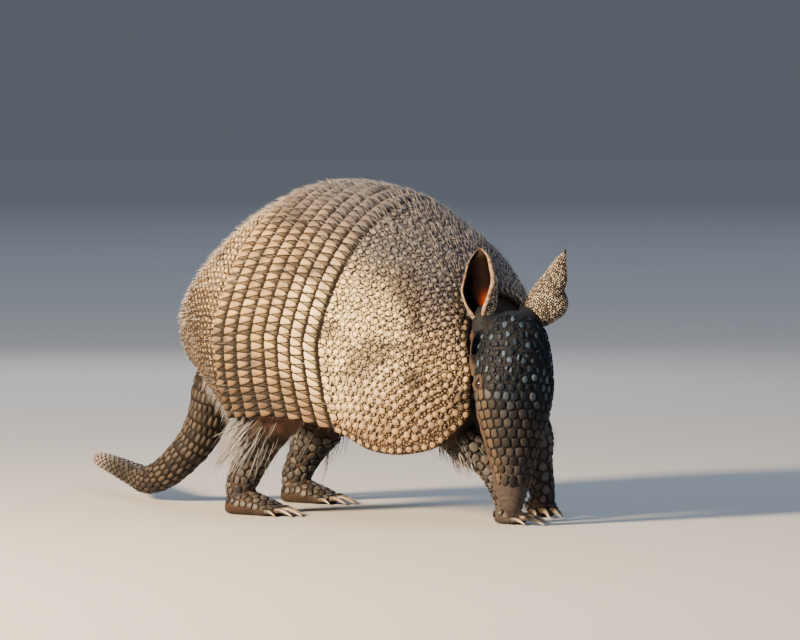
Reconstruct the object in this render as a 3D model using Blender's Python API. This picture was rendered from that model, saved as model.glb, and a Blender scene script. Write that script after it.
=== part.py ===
"""Nine-banded armadillo, a still life-size model of a small adult: it stands with its head held down.

Seen from above, +X runs along the back towards the neck and +Y to the animal's left.
Tables are in millimetres, in a body frame whose zero lies under the rear edge of the shoulder shield.
"""
import math

import bmesh
import bpy
import numpy as np
from mathutils import Matrix

MM = 0.001
GAP = 0.3
ORIGIN_SHIFT = (73.1, -1.1, 0.0)
SEED = 8

# Shell rings from the rear margin to the neck margin. Each row holds a station along the back, then
# top point x z, widest point x y z and lower margin point x y z.
SHELL_RINGS = (
    (-158, -121.0, 90, -112.0, 39.5, 84, -103.5, 39.5, 76),
    (-145, -120.5, 107, -110.5, 48.5, 97, -95.5, 46.0, 71),
    (-128, -111.0, 129, -104.0, 58.5, 106, -88.0, 51.5, 66.5),
    (-110, -95.5, 150, -94.0, 68.5, 108, -80.5, 56.5, 62),
    (-90, -73.5, 170, -82.0, 75.5, 107.5, -74.0, 60.5, 57.5),
    (-69, -50.0, 181.5, -68.0, 78.6, 105.5, -69.0, 64.0, 55.0),
    (-35, -17.5, 183, -34.0, 79.5, 101, -35.0, 67.5, 56.5),
    (0, 16.0, 173.5, 0.0, 78.4, 97, 2.5, 66.0, 49.5),
    (22, 33.5, 162.5, 24.0, 74.5, 92, 23.0, 62.5, 39.5),
    (45, 51.0, 149, 46.0, 65.5, 88, 46.0, 57.5, 38.5),
    (61, 59.5, 137.5, 60.5, 55.5, 86, 61.5, 52.0, 44),
    (76, 64.0, 124.5, 75.0, 43.5, 85, 73.5, 42.0, 60),
)
BAND_COUNT = 8
BANDS_REAR = -69.2
SHELL_THICK = 3.2
EDGE_RISE = 1.3
SEAM = 0.15
SHELL_COLUMNS = 16
SCAPULAR_ROWS = 6
PELVIC_ROWS = 8
SHARP_EDGE = math.radians(32)

# Rosette plates of the two shields: long beside the bands and round behind them. Shares run across the
# shell, from -1 at the right margin to 1 at the left.
ROSETTE_GAP = 18.0
ROSETTE_SIZE = 7.2
ROSETTE_TOP = 0.72
ROSETTE_RISE = 1.2
ROSETTE_ROOT = 1.4
ROSETTE_RIM = 6.5
ROSETTE_ROW_STEP = 2.5
ROSETTE_SPOTS_A_ROW = 60
EDGE_ROW_INSET = 9.4
EDGE_ROW_DEPTH = 3.0
EDGE_ROW_STRETCH = 1.35

# Wedge plates of the bands: broad at the band's rear edge, with narrow ones pointing back between them.
WEDGES_A_BAND = 13
WEDGE_REACH = 0.95
WEDGE_REAR = 0.10
WEDGE_FRONT = 0.88
WEDGE_BROAD = 7.4
WEDGE_NARROW = 3.0
WEDGE_TOP = 0.78
WEDGE_RISE = 0.9
WEDGE_ROOT = 1.3

# Belly: station along the back and how far it hangs below the shell's lower margin there.
BELLY = ((-158, 8), (-145, 18), (-132, 16), (-110, 11), (-69, 6), (-35, 3), (0, 0), (22, -3), (45, -4), (61, -3),
         (76, 0))
BELLY_COLUMNS = 6

# Head frame: centre of the nape end, turn to the animal's right, and lean of the nose to the front.
HEAD_BASE = (93.0, -28.2, 113.0)
HEAD_TURN = math.radians(-33)
HEAD_LEAN = (0.049, -0.104)
# Distance along the head, half width, height above the axis, depth below it.
HEAD_RINGS = (
    (-3, 5, 4, 5),
    (0, 11, 9, 11),
    (6, 15.6, 14.5, 17),
    (17, 19.2, 18, 19.5),
    (27, 20.8, 18.8, 20),
    (38, 21.6, 18.4, 19.8),
    (50, 20.2, 17, 18),
    (60, 17.6, 15.2, 15.6),
    (68, 15.2, 13.4, 13.2),
    (76, 13.2, 11.8, 11.2),
    (84, 11.7, 10.2, 9.6),
    (94, 9.9, 8.6, 8.2),
    (101, 8.3, 7.4, 7.0),
    (105.5, 6.0, 5.4, 5.2),
    (108, 2.6, 2.4, 2.2),
)
HEAD_SIDES = 16
NECK_PATH = ((58, -2, 85, 26), (72, -5, 87, 23), (82, -13, 90, 19.5), (89, -21, 91, 16), (92, -26, 91, 12))
NECK_SIDES = 12
NECK_ROWS = 5
HEAD_SCUTE_GAP = 11.0
HEAD_SCUTE_SIZE = 5.1
HEAD_SCUTE_TOP = 0.74
HEAD_SCUTE_RISE = 0.8
HEAD_SCUTE_ROOT = 1.3
HEAD_SCUTE_TURN = math.radians(82)
HEAD_SCUTES_END = 88.0
EYE_ALONG = 37.5
EYE_OUT = 19.4
EYE_UP = 0.6
EYE_SIZE = 3.3
LID_OUT = 20.9
LID_SIZE = 3.9
LID_THICK = 1.3
LID_STRETCH = 1.2
MOUTH_FROM = 66.0
MOUTH_TO = 103.0
MOUTH_TURN = math.radians(112)
MOUTH_HALF = 0.7
NOSTRIL_PLACE = (106.6, 2.5, 1.6)
NOSTRIL_SIZE = 1.4

# Ears: directions in plan towards the viewer's side and across it, then for each ear its root in head
# distances, its axis and opening as shares of across, up and toward, its length and its half width.
TOWARD = np.array([0.53, -0.848, 0.0])
ACROSS = np.array([0.848, 0.53, 0.0])
EAR_RIGHT = ((3.0, 14.5, -6.5), (-0.08, 1.0, -0.36), (-0.5, 0.0, 0.85), 42.0, 10.4)
EAR_LEFT = ((2.0, -9.5, -4.0), (0.60, 0.83, 0.0), (0.5, 0.0, -0.8), 44.0, 11.6)
EAR_THICK = 1.6
EAR_ARC_POINTS = 9
EAR_CLEAR = 15.0
# Share of the way up, half width and half the arc's turn in degrees.
EAR_LEAF = (
    (0.0, 0.62, 130),
    (0.12, 0.82, 120),
    (0.28, 1.0, 105),
    (0.45, 1.0, 92),
    (0.62, 0.84, 84),
    (0.78, 0.60, 78),
    (0.90, 0.36, 72),
    (1.0, 0.12, 65),
)

# Tail: centre x y z and half width.
TAIL_PATH = (
    (-86, 0, 70, 11.0),
    (-100, 0, 75, 14.4),
    (-111, 0, 75.5, 14.8),
    (-118.5, 0, 70.5, 13.8),
    (-122.4, 0, 62.5, 12.6),
    (-124.8, 0, 54.5, 11.6),
    (-128, 0, 46.8, 11.0),
    (-133.5, 0, 37.5, 10.2),
    (-144, 0, 26.5, 9.2),
    (-156, 2, 17.8, 8.4),
    (-174, 10, 11.8, 7.4),
    (-195, 26, 12.6, 6.2),
    (-219, 45, 14.8, 5.2),
    (-243, 65, 16.3, 4.2),
    (-258, 78, 16.6, 3.0),
    (-263, 82, 16.5, 1.3),
)
TAIL_RINGS = 13
TAIL_SIDES = 10
TAIL_STEP = 0.9
TAIL_ROOT = (0.0, 0.045, 0.09, 0.12, 0.14)
TAIL_RINGS_FROM = 0.145
TAIL_RINGS_TO = 0.90
TAIL_TIP = (0.93, 0.97, 0.992, 1.0)

# Legs: centre x y z and half width of the limb, then the foot.
FORELEG_RIGHT = ((48, -36, 64, 13), (56.6, -34, 50.5, 11), (66, -30, 41, 10), (75.5, -26, 32.5, 8.6),
                 (81, -24, 23, 7.6), (84, -22.5, 14, 7.2), (85.5, -22, 7, 6.2))
FORELEG_LEFT = ((54, 34, 68, 13), (63, 35, 54, 11.5), (70.5, 34, 42, 8.8), (72.2, 33, 31, 7.2), (73, 33, 22.5, 7.0),
                (74, 33, 14, 7.0), (75, 32.5, 7, 6.2))
HINDLEG_RIGHT = ((-50, -38, 72, 20), (-54, -42, 58, 17), (-61, -44, 46, 14), (-66, -44.5, 35, 11),
                 (-71, -44.5, 24, 9), (-75, -44.5, 15, 8.2), (-75, -44.5, 8, 7))
HINDLEG_LEFT = ((-70, 38, 72, 20), (-71, 42, 57, 17), (-79, 43, 43, 13.5), (-86, 43.5, 33, 11), (-92, 44, 23, 9),
                (-96, 44, 14, 8.2), (-96, 44, 8, 7))
LEG_SIDES = 8
LEG_ROWS = 7
LEG_FRONT = (1, 0, 0.2)
# Foot rings: share of the length, of the half width and of the ankle's height.
FOOT_RINGS = ((0, 0.45, 0.55), (0.08, 0.8, 0.85), (0.35, 1.0, 1.0), (0.75, 1.0, 0.72), (1.0, 0.8, 0.45))
# Scutes down the front of the forelegs: share down the limb and turn round it, in degrees.
LEG_SCUTES = ((0.40, 62), (0.48, 112), (0.57, 68), (0.66, 116), (0.75, 66), (0.84, 114))
LEG_SCUTE_SIZE = 0.46
LEG_SCUTE_RISE = 0.7
# Hair locks on the outer rear side of the hind legs: share down the limb, turn round it and length.
LEG_LOCKS = ((0.22, 205, 15), (0.30, 240, 17), (0.38, 190, 15), (0.46, 222, 17), (0.54, 250, 14), (0.60, 200, 13),
             (0.68, 230, 12))
LOCK_HALF = 2.4
LOCK_THICK = 0.9
LOCK_ROOT = 1.6
SOLE_CLEAR = 0.35
TOES_FROM = 0.72
TOE_SPLAY = 0.22
# Toe rings: share of the way along toe and then claw, half width and height of the middle over the floor.
TOE_RINGS = ((0.0, 1.0, 0.95), (1.0, 0.85, 0.95))
CLAW_RINGS = ((0.08, 0.62, 1.05), (0.55, 0.42, 0.95), (1.0, 0.10, 0.3))
# Toes: place across the foot, reach past it, claw length and half width.
FORE_TOES = ((0.72, 0.0, 9, 2.5), (0.26, 3.0, 15, 3.1), (-0.26, 3.0, 15, 3.1), (-0.72, 0.0, 9, 2.5))
HIND_TOES = ((0.8, -3.0, 7, 2.3), (0.42, 1.5, 11, 2.8), (0.0, 3.0, 12, 3.0), (-0.42, 1.5, 11, 2.8),
             (-0.8, -3.0, 7, 2.3))
# Feet: heel x y, length, half width, height at the ankle, heading.
FOOT_FORE_RIGHT = (79, -22, 14, 8.6, 11, -0.04)
FOOT_FORE_LEFT = (69.5, 36.5, 11.5, 8.4, 11, -0.70)
FOOT_HIND_RIGHT = (-83, -44.5, 34, 9.5, 13, 0.0)
FOOT_HIND_LEFT = (-104, 44, 34, 9.5, 13, 0.0)


def hermite(knots, values, at):
    """Smooth curve through the rows of a table, with slopes taken from the neighbouring rows."""
    knots = np.asarray(knots, float)
    values = np.asarray(values, float)
    at = np.clip(np.asarray(at, float), knots[0], knots[-1])
    slopes = np.gradient(values, knots, axis=0)
    i = np.clip(np.searchsorted(knots, at, side="right") - 1, 0, len(knots) - 2)
    h = (knots[i + 1] - knots[i])[..., None]
    t = ((at - knots[i])[..., None]) / h
    return (
        (2 * t**3 - 3 * t**2 + 1) * values[i]
        + (t**3 - 2 * t**2 + t) * h * slopes[i]
        + (-2 * t**3 + 3 * t**2) * values[i + 1]
        + (t**3 - t**2) * h * slopes[i + 1]
    )


def unit(v):
    """Vectors of length one along the last axis."""
    v = np.asarray(v, float)
    return v / np.maximum(np.linalg.norm(v, axis=-1, keepdims=True), 1e-12)


def shell_grid():
    """Dense grid of the shell's outer surface: station by share of the way across, and its normals."""
    table = np.array(SHELL_RINGS, float)
    stations = np.linspace(table[0, 0], table[-1, 0], 235)
    rows = hermite(table[:, 0], table[:, 1:], stations)
    share = np.linspace(-1, 1, 241)
    grid = np.zeros((len(stations), len(share), 3))
    turn = np.linspace(0, math.pi / 2, 60)
    down = np.linspace(0, 1, 40)[1:]
    for k, (xt, zt, xw, yw, zw, xm, ym, zm) in enumerate(rows):
        x = np.concatenate([xt + (xw - xt) * (1 - np.cos(turn)), xw + (xm - xw) * down])
        y = np.concatenate([yw * np.sin(turn), yw - (yw - ym) * down**2])
        z = np.concatenate([zw + (zt - zw) * np.cos(turn), zw - (zw - zm) * down])
        path = np.concatenate([[0], np.cumsum(np.sqrt(np.diff(x) ** 2 + np.diff(y) ** 2 + np.diff(z) ** 2))])
        want = np.abs(share) * path[-1]
        grid[k, :, 0] = np.interp(want, path, x)
        grid[k, :, 1] = np.interp(want, path, y) * np.sign(share)
        grid[k, :, 2] = np.interp(want, path, z)
    across = np.gradient(grid, axis=1)
    along = np.gradient(grid, axis=0)
    return stations, share, grid, unit(np.cross(along, across))


STATIONS, SHARES, SHELL, SHELL_NORMAL = shell_grid()


def shell_sample(field, station, share):
    """Value of a dense shell grid at any stations and shares, by the four nearest grid points."""
    station, share = np.broadcast_arrays(np.asarray(station, float), np.asarray(share, float))
    i = (station - STATIONS[0]) / (STATIONS[1] - STATIONS[0])
    j = (share - SHARES[0]) / (SHARES[1] - SHARES[0])
    i = np.clip(i, 0, len(STATIONS) - 1.001)
    j = np.clip(j, 0, len(SHARES) - 1.001)
    i0 = i.astype(int)
    j0 = j.astype(int)
    fi = (i - i0)[..., None]
    fj = (j - j0)[..., None]
    low = field[i0, j0] * (1 - fj) + field[i0, j0 + 1] * fj
    high = field[i0 + 1, j0] * (1 - fj) + field[i0 + 1, j0 + 1] * fj
    return low * (1 - fi) + high * fi


def shell_at(station, share, lift=0.0):
    """Points on the shell, raised by lift along the outward normal."""
    normal = unit(shell_sample(SHELL_NORMAL, station, share))
    lift = np.broadcast_to(np.asarray(lift, float), normal.shape[:-1])
    return shell_sample(SHELL, station, share) + normal * lift[..., None]


def collection(name):
    """New collection linked to the scene."""
    made = bpy.data.collections.new(name)
    bpy.context.scene.collection.children.link(made)
    return made


def material(name, colour, roughness):
    """Plain opaque material of one colour."""
    made = bpy.data.materials.new(name)
    made.use_nodes = True
    shader = made.node_tree.nodes["Principled BSDF"]
    shader.inputs["Base Color"].default_value = (*colour, 1.0)
    shader.inputs["Roughness"].default_value = roughness
    shader.inputs["Metallic"].default_value = 0.0
    made.diffuse_color = (*colour, 1.0)
    return made


def mesh_object(name, points, faces, home, surface=None):
    """Closed mesh object from points in millimetres in the body frame."""
    shifted = (np.asarray(points, float) + np.array(ORIGIN_SHIFT)) * MM
    mesh = bpy.data.meshes.new(name)
    mesh.from_pydata(shifted.tolist(), [], [list(map(int, f)) for f in faces])
    shape = bmesh.new()
    shape.from_mesh(mesh)
    bmesh.ops.remove_doubles(shape, verts=shape.verts, dist=0.00001)
    bmesh.ops.recalc_face_normals(shape, faces=shape.faces)
    if shape.calc_volume(signed=True) < 0:
        bmesh.ops.reverse_faces(shape, faces=shape.faces)
    shape.to_mesh(mesh)
    shape.free()
    made = bpy.data.objects.new(name, mesh)
    home.objects.link(made)
    if surface:
        mesh.materials.append(surface)
    return made


def sheet_faces(rows, columns, start=0, flip=False):
    """Triangles of a rows by columns sheet of points, each quad split along the same diagonal."""
    faces = []
    for r in range(rows - 1):
        for c in range(columns - 1):
            a = start + r * columns + c
            for tri in ((a, a + 1, a + columns + 1), (a, a + columns + 1, a + columns)):
                faces.append(tri[::-1] if flip else tri)
    return faces


def plate_mesh(outer, inner):
    """Points and faces of the closed body between two sheets of the same size."""
    rows, columns = outer.shape[:2]
    count = rows * columns
    points = np.concatenate([outer.reshape(-1, 3), inner.reshape(-1, 3)])
    faces = sheet_faces(rows, columns) + sheet_faces(rows, columns, count, True)
    edge = [(0, c) for c in range(columns)]
    edge += [(r, columns - 1) for r in range(1, rows)]
    edge += [(rows - 1, c) for c in range(columns - 2, -1, -1)]
    edge += [(r, 0) for r in range(rows - 2, 0, -1)]
    loop = [r * columns + c for r, c in edge]
    for a, b in zip(loop, loop[1:] + loop[:1]):
        faces.append((b, a, a + count, b + count))
    return points, faces


def tube_mesh(rings):
    """Points and faces of a closed tube through rings of points, each end drawn to its middle."""
    rings = np.asarray(rings, float)
    rows, sides = rings.shape[:2]
    points = np.concatenate([rings.reshape(-1, 3), [rings[0].mean(0)], [rings[-1].mean(0)]])
    faces = []
    for r in range(rows - 1):
        for c in range(sides):
            d = (c + 1) % sides
            faces.append((r * sides + c, r * sides + d, (r + 1) * sides + d))
            faces.append((r * sides + c, (r + 1) * sides + d, (r + 1) * sides + c))
    first = rows * sides
    for c in range(sides):
        d = (c + 1) % sides
        faces.append((d, c, first))
        faces.append(((rows - 1) * sides + c, (rows - 1) * sides + d, first + 1))
    return points, faces


def path_frame(path, shares, up):
    """Centre with half width, direction, side and lift of a curved path at shares of its length."""
    path = np.asarray(path, float)
    length = np.concatenate([[0], np.cumsum(np.linalg.norm(np.diff(path[:, :3], axis=0), axis=1))])
    at = np.asarray(shares, float) * length[-1]
    centre = hermite(length, path, at)
    ahead = hermite(length, path[:, :3], np.minimum(at + 0.5, length[-1]))
    behind = hermite(length, path[:, :3], np.maximum(at - 0.5, 0))
    along = unit(ahead - behind)
    side = unit(np.cross(np.broadcast_to(np.asarray(up, float), along.shape), along))
    return centre, along, side, np.cross(along, side)


def path_rings(path, sides, shares, up=(0, 0, 1), step=0.0):
    """Rings round a curved path of x y z and half width, with a step outwards for each ring."""
    centre, along, side, lift = path_frame(path, shares, up)
    turn = np.linspace(0, 2 * math.pi, sides, endpoint=False)[None, :, None]
    half = (centre[:, 3] + np.asarray(step, float))[:, None, None]
    return centre[:, None, :3] + half * (np.cos(turn) * side[:, None, :] + np.sin(turn) * lift[:, None, :])


def applied(thing):
    """Replace an object's mesh with the result of its modifiers."""
    graph = bpy.context.evaluated_depsgraph_get()
    graph.update()
    mesh = bpy.data.meshes.new_from_object(thing.evaluated_get(graph))
    thing.modifiers.clear()
    thing.data = mesh
    return thing


def largest_surface(thing):
    """Keep only the largest closed surface of an object."""
    shape = bmesh.new()
    shape.from_mesh(thing.data)
    bmesh.ops.remove_doubles(shape, verts=shape.verts, dist=0.00001)
    shape.faces.ensure_lookup_table()
    seen = set()
    groups = []
    for first in shape.faces:
        if first.index in seen:
            continue
        group = []
        queue = [first]
        seen.add(first.index)
        while queue:
            face = queue.pop()
            group.append(face)
            for edge in face.edges:
                for other in edge.link_faces:
                    if other.index not in seen:
                        seen.add(other.index)
                        queue.append(other)
        groups.append(group)
    groups.sort(key=lambda g: sum(f.calc_area() for f in g))
    spare = [f for g in groups[:-1] for f in g]
    bmesh.ops.delete(shape, geom=spare, context="FACES")
    loose = [v for v in shape.verts if not v.link_faces]
    bmesh.ops.delete(shape, geom=loose, context="VERTS")
    bmesh.ops.recalc_face_normals(shape, faces=shape.faces)
    shape.to_mesh(thing.data)
    shape.free()
    return thing


def fuse(thing, pieces, solver="EXACT"):
    """Join closed pieces to an object by one union and drop what the union seals off."""
    if not pieces:
        return thing
    group = bpy.data.collections.new(thing.name + "_pieces")
    for piece in pieces:
        group.objects.link(piece)
    join = thing.modifiers.new("join", "BOOLEAN")
    join.operation = "UNION"
    join.operand_type = "COLLECTION"
    join.collection = group
    join.solver = solver
    applied(thing)
    for piece in pieces:
        mesh = piece.data
        bpy.data.objects.remove(piece)
        bpy.data.meshes.remove(mesh)
    bpy.data.collections.remove(group)
    return largest_surface(thing)


def cut(thing, cutter, solver="EXACT"):
    """Take a cutter's shape out of an object."""
    away = thing.modifiers.new("cut", "BOOLEAN")
    away.operation = "DIFFERENCE"
    away.object = cutter
    away.solver = solver
    applied(thing)
    return largest_surface(thing)


def hidden(thing):
    """Mark an object as one used only to cut others."""
    thing.hide_render = True
    thing.display_type = "WIRE"
    return thing


def cutter_object(name, points, faces, home):
    """Hidden wire object used only to cut others."""
    return hidden(mesh_object(name, points, faces, home))


def flat_corners(centre, normal, forward, outline):
    """Corners of an outline laid in the surface's plane, its first axis forwards."""
    forward = unit(forward - np.dot(forward, normal) * normal)
    side = np.cross(normal, forward)
    return centre + outline[:, :1] * forward + outline[:, 1:] * side


def plate_piece(name, corners, normal, top, rise, root, home):
    """Raised plate: its corners sunk below the surface, and drawn in to a smaller top above it."""
    centre = corners.mean(0)
    low = corners - normal * root
    high = centre + (corners - centre) * top + normal * rise
    count = len(corners)
    points = np.concatenate([low, high])
    faces = [tuple(range(count))[::-1], tuple(range(count, 2 * count))]
    faces += [(k, (k + 1) % count, (k + 1) % count + count, k + count) for k in range(count)]
    return mesh_object(name, points, faces, home)


def polygon(sides, size, turn=0.0, stretch=1.0):
    """Corners of a regular polygon, stretched along the first axis."""
    at = turn + np.linspace(0, 2 * math.pi, sides, endpoint=False)
    return np.stack([np.cos(at) * size * stretch, np.sin(at) * size], axis=1)


def spread_out(points, gap):
    """Indices of points picked in order so that no two picked lie nearer than the gap."""
    kept = []
    for k, point in enumerate(points):
        if all(np.linalg.norm(point - points[j]) >= gap for j in kept):
            kept.append(k)
    return kept


def shield(name, low, high, rows, rise_at_rear, home, surface):
    """Shield body between two stations, its rear edge lifted over what lies behind it."""
    stations = np.linspace(low, high, rows)
    shares = np.linspace(-1, 1, SHELL_COLUMNS + 1)
    q, t = np.meshgrid(stations, shares, indexing="ij")
    lift = np.zeros_like(q)
    lift[0] = rise_at_rear
    return mesh_object(name, *plate_mesh(shell_at(q, t, lift), shell_at(q, t, -SHELL_THICK)), home, surface)


def shell_room_mesh():
    """Points and faces of the room that the whole shell takes, a gap wider than it on every side."""
    stations = np.concatenate([
        np.linspace(STATIONS[0], BANDS_REAR, PELVIC_ROWS),
        np.linspace(BANDS_REAR, 0, BAND_COUNT + 1)[1:-1],
        np.linspace(0, STATIONS[-1], SCAPULAR_ROWS),
    ])
    shares = np.linspace(-1, 1, SHELL_COLUMNS + 1)
    q, t = np.meshgrid(stations, shares, indexing="ij")
    sheets = []
    for lift in (2 * GAP, -SHELL_THICK - 1.5 * GAP):
        sheet = shell_at(q, t, lift)
        for edge, inside in ((0, 1), (-1, -2)):
            sheet[:, edge] += unit(sheet[:, edge] - sheet[:, inside]) * 2 * GAP
        for edge, inside in ((0, 1), (-1, -2)):
            sheet[edge] += unit(sheet[edge] - sheet[inside]) * 2 * GAP
        sheets.append(sheet)
    return plate_mesh(*sheets)


def distance_to_line(points, line):
    """Distance of each point from the nearest point of a line of points."""
    return np.min(np.linalg.norm(points[:, None] - line[None], axis=2), axis=1)


def rosettes(name, band_edge, margin, home):
    """Rosette plates spread over a shield, a little varied in size and turn, the ones beside the bands long."""
    random = np.random.default_rng(SEED)
    spots = []
    for row, station in enumerate(np.arange(0, abs(margin - band_edge), ROSETTE_ROW_STEP)):
        places = (np.arange(ROSETTE_SPOTS_A_ROW) + 0.5 * (row % 2)) / ROSETTE_SPOTS_A_ROW
        spots += [(band_edge + math.copysign(station, margin - band_edge), 2 * place - 1) for place in places]
    spots = np.array(spots)
    centres = shell_at(spots[:, 0], spots[:, 1])
    across = np.linspace(-1, 1, 121)
    along = np.linspace(band_edge, margin, 61)
    from_bands = distance_to_line(centres, shell_at(band_edge, across))
    rim = np.concatenate([shell_at(margin, across), shell_at(along, -1), shell_at(along, 1)])
    from_rim = distance_to_line(centres, rim)
    whole = (from_bands > EDGE_ROW_INSET) & (from_rim > ROSETTE_RIM)
    order = np.argsort(from_bands[whole] + 0.1 * np.abs(spots[whole, 1]), kind="stable")
    spots, centres, from_bands = spots[whole][order], centres[whole][order], from_bands[whole][order]
    pieces = []
    for n, k in enumerate(spread_out(centres, ROSETTE_GAP)):
        station, share = spots[k]
        normal = unit(shell_sample(SHELL_NORMAL, station, share))
        forward = shell_at(station + 2, share) - shell_at(station - 2, share)
        beside_bands = from_bands[k] < EDGE_ROW_INSET + EDGE_ROW_DEPTH
        size = ROSETTE_SIZE * random.uniform(0.93, 1.07) / (EDGE_ROW_STRETCH**0.5 if beside_bands else 1.0)
        stretch = EDGE_ROW_STRETCH if beside_bands else 1.0
        outline = polygon(6, size, random.uniform(-0.2, 0.2), stretch)
        corners = flat_corners(centres[k], normal, forward, outline)
        pieces.append(plate_piece(f"{name}_{n}", corners, normal, ROSETTE_TOP, ROSETTE_RISE, ROSETTE_ROOT, home))
    return pieces


def band_wedges(name, low, high, home):
    """Wedge plates of one band: a broad one with its wide end at the rear, then a narrow one turned about."""
    pieces = []
    length = high - low
    stations = low + length * np.array([WEDGE_REAR, WEDGE_FRONT, WEDGE_FRONT, WEDGE_REAR])
    lifts = EDGE_RISE * (high - stations) / length
    for k, share in enumerate(np.linspace(-WEDGE_REACH, WEDGE_REACH, WEDGES_A_BAND)):
        across = shell_at(stations[:2], share + 0.01) - shell_at(stations[:2], share - 0.01)
        a_share = np.linalg.norm(across, axis=1).mean() / 0.02
        rear, front = (WEDGE_BROAD, WEDGE_NARROW) if k % 2 == 0 else (WEDGE_NARROW, WEDGE_BROAD)
        corners = shell_at(stations, share + np.array([-rear, -front, front, rear]) / a_share, lifts)
        normal = unit(np.cross(corners[1] - corners[3], corners[2] - corners[0]))
        if np.dot(normal, shell_sample(SHELL_NORMAL, stations[0], share)) < 0:
            normal = -normal
        pieces.append(plate_piece(f"{name}_{k}", corners, normal, WEDGE_TOP, WEDGE_RISE, WEDGE_ROOT, home))
    return pieces


def torso_rings(lift):
    """Rings of the body under the shell: the shell's inside, closed below by the belly."""
    stations = np.concatenate([
        np.linspace(STATIONS[0], BANDS_REAR, PELVIC_ROWS),
        np.linspace(BANDS_REAR, 0, BAND_COUNT // 2 + 1)[1:-1],
        np.linspace(0, STATIONS[-1], SCAPULAR_ROWS),
    ])
    shares = np.linspace(-1, 1, SHELL_COLUMNS + 1)
    belly_table = np.array(BELLY, float)
    turn = np.linspace(0, math.pi, BELLY_COLUMNS + 2)[1:-1]
    rings = []
    for q in stations:
        top = shell_at(np.full_like(shares, q), shares, -SHELL_THICK - GAP - 0.1 + lift)
        near, far = top[0], top[-1]
        reach = np.cos(turn)[:, None]
        middle = (near + far) / 2
        drop = hermite(belly_table[:, 0], belly_table[:, 1:], np.array([q]))[0, 0] + lift
        belly = middle + (far - middle) * reach
        belly[:, 2] -= drop * np.sin(turn) + lift
        rings.append(np.concatenate([top, belly]))
    rings = np.array(rings)
    front = rings[-1]
    rear = rings[0]
    front_middle = np.array([76.0 + lift, 0.0, 88.0])
    rear_middle = np.array([-114.0 - lift, 0.0, 74.0])
    caps_front = [front * 0.55 + front_middle * 0.45 + [1.0, 0, 0], front * 0.2 + front_middle * 0.8 + [0.5, 0, 0]]
    caps_rear = [rear * 0.2 + rear_middle * 0.8, rear * 0.6 + rear_middle * 0.4]
    return np.concatenate([caps_rear, rings, caps_front])


def head_frame():
    """Origin and axes of the head: along to the nose, out to its right, up to its crown."""
    along = unit([HEAD_LEAN[0], HEAD_LEAN[1], -1.0])
    up = np.array([math.cos(HEAD_TURN), math.sin(HEAD_TURN), 0.0])
    up = unit(up - np.dot(up, along) * along)
    right = np.cross(along, up)
    if right[1] > 0:
        right = -right
    return np.array(HEAD_BASE), along, right, up


def head_point(along, right, up):
    """Body-frame point from head-frame distances."""
    base, a, r, u = head_frame()
    return base + np.asarray(along)[..., None] * a + np.asarray(right)[..., None] * r + np.asarray(up)[..., None] * u


def head_skin(along, turn, lift=0.0):
    """Point of the head's surface: turn 0 at the crown, a quarter turn at the right side."""
    table = np.array(HEAD_RINGS, float)
    half, high, deep = np.moveaxis(hermite(table[:, 0], table[:, 1:], along), -1, 0)
    rise = np.cos(turn)
    up = np.where(rise > 0, high * rise, deep * rise)
    return head_point(along, (half + lift) * np.sin(turn), up + lift * rise)


def head_rings(lift):
    """Rings of the head from the nape to the nose."""
    table = np.array(HEAD_RINGS, float)
    turn = np.linspace(0, 2 * math.pi, HEAD_SIDES, endpoint=False)
    a, t = np.meshgrid(table[:, 0], turn, indexing="ij")
    rings = head_skin(a, t, lift)
    base, along, right, up = head_frame()
    rings[0] -= along * lift
    rings[-1] += along * lift
    return rings


def ball_object(name, centre, size, sides, home, surface=None):
    """Ball, as an object."""
    mesh = bpy.data.meshes.new(name)
    shape = bmesh.new()
    bmesh.ops.create_uvsphere(shape, u_segments=sides, v_segments=max(4, sides // 2), radius=size * MM)
    bmesh.ops.translate(shape, verts=shape.verts, vec=(np.asarray(centre) + ORIGIN_SHIFT) * MM)
    shape.to_mesh(mesh)
    shape.free()
    made = bpy.data.objects.new(name, mesh)
    home.objects.link(made)
    if surface:
        mesh.materials.append(surface)
    return made


def lid_object(name, side, home):
    """Ring of both lids round one eye, longer along the head than across it."""
    base, along, right, up = head_frame()
    bpy.ops.mesh.primitive_torus_add(major_segments=12, minor_segments=5, major_radius=LID_SIZE * MM,
                                     minor_radius=LID_THICK * MM)
    made = bpy.context.active_object
    for owner in list(made.users_collection):
        owner.objects.unlink(made)
    home.objects.link(made)
    made.name = name
    centre = (head_point(EYE_ALONG, side * LID_OUT, EYE_UP) + ORIGIN_SHIFT) * MM
    turned = Matrix((along * LID_STRETCH, up, right * side)).transposed().to_4x4()
    turned.translation = centre
    made.data.transform(turned)
    if turned.determinant() < 0:
        made.data.flip_normals()
    return made


def mouth_mesh(side):
    """Points and faces of the groove between the lips on one side of the snout."""
    turn = side * MOUTH_TURN
    stations = np.linspace(MOUTH_FROM, MOUTH_TO, 9)
    path = [(*head_skin(station, turn, 0.0), MOUTH_HALF) for station in stations]
    return tube_mesh(path_rings(path, 4, np.linspace(0, 1, 9), up=head_frame()[3]))


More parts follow.
